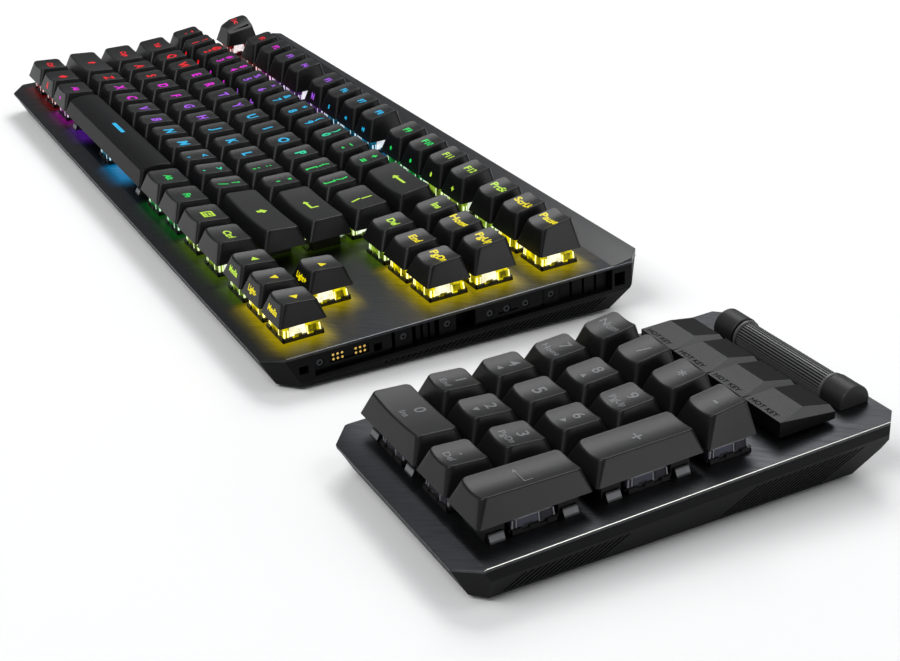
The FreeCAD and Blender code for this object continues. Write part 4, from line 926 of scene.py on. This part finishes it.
# On the unlit housings the panes and ridges carry painted highlights.
dark_cover_tree = housing_tree("unlit switch housing", cover_blocks,
                               [dark_frame, dark_pane_highlight, dark_frame, dark_ridge_highlight])
base_sizes = {"Foot": 15.6, "Head Width": 15.6, "Head Depth": 15.6, "Low": 0.0, "High": 0.95, "Taper": 1.0}
cover_sizes = {"Foot": 14.0, "Head Width": 11.8, "Head Depth": 10.8, "Low": 0.95, "High": 5.8, "Taper": 4.0}
for groups, offset, body, prefix, shown_tree in ((main_keys, 0.0, "main_unit", "", cover_tree),
                                                 (pad_keys, pad_x, "number_pad", "pad_", dark_cover_tree)):
    keys = [key for group in groups.values() for key in group]
    points = [key_centre(key) + Vector((offset, 0, 0)) for key in keys]
    colours = []
    for key in keys:
        colour, level = lamp_colour(key)
        colours.append((colour[0] * level, colour[1] * level, colour[2] * level, 1.0))
    for node_name, tree, sizes, slot_name in (
            (prefix + "switch_bases", base_tree, base_sizes, "switch_base"),
            (prefix + "switch_covers", shown_tree, cover_sizes, "switch_cover")):
        made = grown(node_name + "_housings", points, tree, sizes, colours)
        made.data.shade_flat()
        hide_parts(node_name)
        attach(made, body)

# Rounded copies of the machined and moulded parts

def spread_light(mesh):
    """Cuts the lit plate finely and paints on each corner the pools of the lamps' light."""
    work = bmesh.new()
    work.from_mesh(mesh)
    work.transform(deck_to_table.inverted())
    for axis, low, high in ((Vector((1, 0, 0)), plate_left, main_right),
                            (Vector((0, 1, 0)), plate_front, plate_lit_rear)):
        for step in range(1, int((high - low) / light_cell)):
            bmesh.ops.bisect_plane(work, geom=work.verts[:] + work.edges[:] + work.faces[:],
                                   plane_co=axis * (low + step * light_cell), plane_no=axis)
    layer = work.verts.layers.float_color.new("key_light")
    keys = [key for group in main_keys.values() for key in group]
    lamps = [(key_centre(key), lamp_half_size, painted_pool_colour(key)) for key in keys if key[2] < 3]
    # The bar's painted pools: a strong one right of its middle and a violet one near its left end.
    bar = main_keys["space_bar"][0]
    violet = [0.9 * part for part in painted_pool_colour((5.0, 0, 1, 1))]
    lamps.append((key_centre(bar) + Vector((20, 0, 0)), 9.0, [1.5 * part for part in painted_pool_colour(bar)]))
    lamps.append((key_centre(bar) - Vector((42, 0, 0)), lamp_half_size, violet))
    for vertex in work.verts:
        total = [0.0, 0.0, 0.0]
        for centre, half, colour in lamps:
            to_right = vertex.co.x - centre.x
            to_rear = vertex.co.y - centre.y
            away_x = max(abs(to_right) - half, 0.0) * (1.0 if to_right > 0 else far_squeeze)
            away_y = max(abs(to_rear) - lamp_half_size, 0.0) * (far_squeeze if to_rear > 0 else front_squeeze)
            distance = math.hypot(away_x, away_y)
            if distance < light_reach:
                fall = (1 - distance / light_reach) ** light_fall
                total = [max(part, fall * new) for part, new in zip(total, colour)]
        vertex[layer] = (*total, 1.0)
    work.transform(deck_to_table)
    work.to_mesh(mesh)
    work.free()


for plate_name, body, right, width, finishes in (
        ("top_plate", "main_unit", main_right, 0.3, [pool_painted_plate_metal, shaded_edge_metal]),
        ("pad_plate", "number_pad", pad_right, 0.5, [plate_metal, cut_edge_metal])):
    plate = softened(plate_name, plate_name + "_brushed", width, finishes, body)
    # The main plate takes the painted pools of lamp light.
    if plate_name == "top_plate":
        spread_light(plate.data)
    limit = (deck_to_table @ Vector((right - 8, 0, 0))).x
    for face in plate.data.polygons:
        x, y, z = face.normal
        if face.center.x > limit and x > 0.25 and z > 0.2 and abs(y) < 0.15:
            face.material_index = 1
softened("rear_trim", "rear_trim_lacquered", 0.35, [trim_plastic], "main_unit")
softened("dock_blocks", "dock_blocks_moulded", 0.15, [case_plastic], "main_unit")
softened("dock_pegs", "dock_pegs_moulded", 0.3, [case_plastic], "number_pad")
for node_name, body in (("stabilizers", "main_unit"), ("pad_stabilizers", "number_pad")):
    clips = softened(node_name, node_name + "_moulded", 0.12, [stabilizer_nylon, tab_highlight_nylon], body)
    work = bmesh.new()
    work.from_mesh(clips.data)
    lower = deck_to_table @ Vector((0, 0, 0.5))
    upper = deck_to_table @ Vector((0, 0, 2.0))
    upward = deck_to_table.to_3x3() @ Vector((0, 0, 1000))
    for level in (lower, upper):
        bmesh.ops.bisect_plane(work, geom=work.verts[:] + work.edges[:] + work.faces[:], plane_co=level,
                               plane_no=upward)
    # Upward-slanted faces between 0.5 and 2 mm above the deck take the tab's painted highlight.
    for face in work.faces:
        middle = face.calc_center_median()
        between = (middle - lower).dot(upward) > 0 > (middle - upper).dot(upward)
        if between and 0.15 < face.normal.z < 0.8 and face.calc_area() > 1e-6:
            face.material_index = 1
    work.to_mesh(clips.data)
    work.free()
softened("roller_mounts", "roller_mounts_matt", 0.4, [mount_plastic], "number_pad")
softened("rubber_feet", "rubber_feet_moulded", 0.4, [foot_rubber], "main_unit")
softened("pad_feet", "pad_feet_moulded", 0.4, [foot_rubber], "number_pad")
softened("leg_left", "leg_left_moulded", 0.3, [case_plastic], "leg_left")
softened("leg_right", "leg_right_moulded", 0.3, [case_plastic], "leg_right")
for number in range(1, 5):
    node_name = "hot_key_" + str(number)
    tile = softened(node_name, node_name + "_tile", 0.12, [tile_grain, tile_facet_shade, tile_wedge_light],
                    node_name, angle=8)
    # Steep sides and rear facets take the painted shade, faces turned to the right the painted light.
    for face in tile.data.polygons:
        if face.normal.z < 0.5:
            face.material_index = 1
        elif face.normal.x > 0.15:
            face.material_index = 2
        elif face.normal.y > 0.05:
            face.material_index = 1
    corners = [deck_to_table.inverted() @ vertex.co for vertex in tile.data.vertices]
    left = min(corner.x for corner in corners)
    right = max(corner.x for corner in corners)
    front = min(corner.y for corner in corners)
    draped_sign("HOT KEY", 1.9, tile, Vector(((left + right) / 2 - 1.0, front + 1.9, 0)), (0, 0, 0, 1),
                raised_shade, node_name)


# Volume roller: a turned body with ribs set round it

def rib_tree():
    """Tree that sets ribs round a drum, whose axle is along X, on every point."""
    tree, given = point_tree("roller ribs", ("Ribs",), ("Radius", "Length", "Rib Height", "Rib Width"))
    circle = add(tree, "GeometryNodeMeshCircle", {"Vertices": given["Ribs"], "Radius": given["Radius"]})
    size = add(tree, "ShaderNodeCombineXYZ", {"X": given["Rib Height"], "Y": given["Rib Width"],
                                              "Z": given["Length"]})
    rib = add(tree, "GeometryNodeMeshCube", {"Size": size.outputs["Vector"]})
    outward = add(tree, "FunctionNodeAlignRotationToVector",
                  {"Vector": add(tree, "GeometryNodeInputPosition").outputs[0]}, axis="X")
    ribs = add(tree, "GeometryNodeInstanceOnPoints", {"Points": circle.outputs["Mesh"],
                                                      "Instance": rib.outputs["Mesh"],
                                                      "Rotation": outward.outputs["Rotation"]})
    lying = add(tree, "GeometryNodeTransform", {"Geometry": ribs.outputs["Instances"],
                                                "Rotation": (0, math.pi / 2, 0)})
    spread = add(tree, "GeometryNodeInstanceOnPoints", {"Points": given["Geometry"],
                                                        "Instance": lying.outputs["Geometry"]})
    real = add(tree, "GeometryNodeRealizeInstances", {"Geometry": spread.outputs["Instances"]})
    result = add(tree, "GeometryNodeSetMaterial", {"Geometry": real.outputs["Geometry"],
                                                   "Material": roller_rubber})
    add(tree, "NodeGroupOutput", {"Geometry": result.outputs["Geometry"]})
    return tree


# The solid has 44 ribs. Here 32 are drawn, coarser, so that they show.
roller_middle = Vector((pad_x + roller_left + roller_length / 2, roller_y, roller_z))
ribs = grown("volume_roller_ribs", [roller_middle], rib_tree(),
             {"Ribs": 32, "Radius": 4.65, "Length": 41.4, "Rib Height": 0.5, "Rib Width": 0.42})
ribs.data.shade_flat()
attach(ribs, "volume_roller")
turned = bmesh.new()
half = roller_length / 2
# Half the outline, as places along the axle and radii: pin, ring and groove floor.
half_profile = [(half + axle_reach, 0.0), (half + axle_reach, 1.1), (half, 1.2), (half, 5.2),
                (half - 0.3, 5.5), (half - 0.9, 5.5), (half - roller_ring_reach, 5.2),
                (half - roller_ring_reach, 4.42)]
profile = half_profile + [(-x, radius) for x, radius in reversed(half_profile)]
rings = []
for x, radius in profile[1:-1]:
    rings.append([turned.verts.new(roller_middle + Vector((x, radius * math.cos(turn * math.pi / 32),
                                                           radius * math.sin(turn * math.pi / 32))))
                  for turn in range(64)])
skin(turned, rings)
turned.faces.new(rings[0])
turned.faces.new(rings[-1])
bmesh.ops.recalc_face_normals(turned, faces=turned.faces)
turned_mesh = bpy.data.meshes.new("volume_roller_body")
turned.to_mesh(turned_mesh)
turned.free()
turned_mesh.transform(deck_to_table)
drum = new_object("volume_roller_drum", turned_mesh, [roller_rubber, groove_rubber])
for face in turned_mesh.polygons:
    if face.area > 5e-6:
        face.material_index = 1
weighted(drum)
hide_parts("volume_roller")
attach(drum, "volume_roller")

# CAD nodes that keep their form
for node_name, material in {
    "base_shell": case_plastic, "pad_base": case_plastic, "main_pcb": board_mask, "pad_pcb": board_mask,
    "stabilizer_wires": wire_steel, "pad_stabilizer_wires": wire_steel, "dock_contacts": contact_gold,
    "case_screws": screw_steel, "pad_screws": screw_steel, "battery": battery_foil, "usb_port": wire_steel,
    "mode_switch": case_plastic,
}.items():
    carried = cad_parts[node_name]
    carried.data.materials.clear()
    carried.data.materials.append(material)

# Floor, light and camera
# Matt white card: an even pale ground with soft shadows.
floor_material, floor_tree = surface("matt white card")
principled(floor_tree, {"Base Color": (0.93, 0.93, 0.93, 1.0), "Roughness": 0.9, "Specular IOR Level": 0.1})
floor_mesh = bpy.data.meshes.new("floor")
floor_mesh.from_pydata([(-8, -8, 0), (8, -8, 0), (8, 8, 0), (-8, 8, 0)], [], [(0, 1, 2, 3)])
floor = new_object("floor", floor_mesh, [floor_material])

world = bpy.data.worlds.new("studio")
world.use_nodes = True
world.node_tree.nodes.clear()
sky = add(world.node_tree, "ShaderNodeBackground", {"Color": (0.95, 0.97, 1.0, 1.0), "Strength": 0.25})
add(world.node_tree, "ShaderNodeOutputWorld", {"Surface": sky.outputs["Background"]})
bpy.context.scene.world = world


def softbox(name, direction, distance, radiance, width, height):
    """Soft rectangular lamp that looks at the object from a direction, with an even radiance."""
    lamp = bpy.data.lights.new(name, "AREA")
    lamp.shape = "RECTANGLE"
    lamp.size = width
    lamp.size_y = height
    lamp.energy = math.pi * width * height * radiance
    made = bpy.data.objects.new(name, lamp)
    bpy.context.scene.collection.objects.link(made)
    made.location = Vector(direction).normalized() * distance
    made.rotation_euler = (-made.location).to_track_quat("-Z", "Y").to_euler()


softbox("softbox over the far side", (-0.42, 0.38, 0.82), 1.3, 5.8, 0.7, 0.7)
softbox("low softbox on the right", (0.90, 0.42, 0.17), 1.2, 1.3, 0.7, 0.35)
softbox("strip beside the pad", (0.929, 0.360, 0.085), 0.80, 2.6, 0.35, 0.12)
softbox("softbox for the edges", (0.45, 0.42, 0.78), 1.3, 3.0, 0.4, 0.4)
softbox("softbox over the front", (0.10, -0.62, 0.78), 2.2, 4.6, 1.6, 1.2)

# The camera was fitted to the key corners in the photograph.
camera_data = bpy.data.cameras.new("camera")
camera_data.sensor_width = 36.0
camera_data.lens = 60.566
camera = bpy.data.objects.new("camera", camera_data)
bpy.context.scene.collection.objects.link(camera)
camera.location = (0.541857, -0.233295, 0.248057)
looking = Vector((-0.794185, 0.419530, -0.439619)).to_track_quat("-Z", "Y")
camera.rotation_euler = (looking @ Quaternion((0, 0, 1), math.radians(-0.272))).to_euler()
bpy.context.scene.camera = camera
bpy.context.scene.view_settings.view_transform = "Standard"
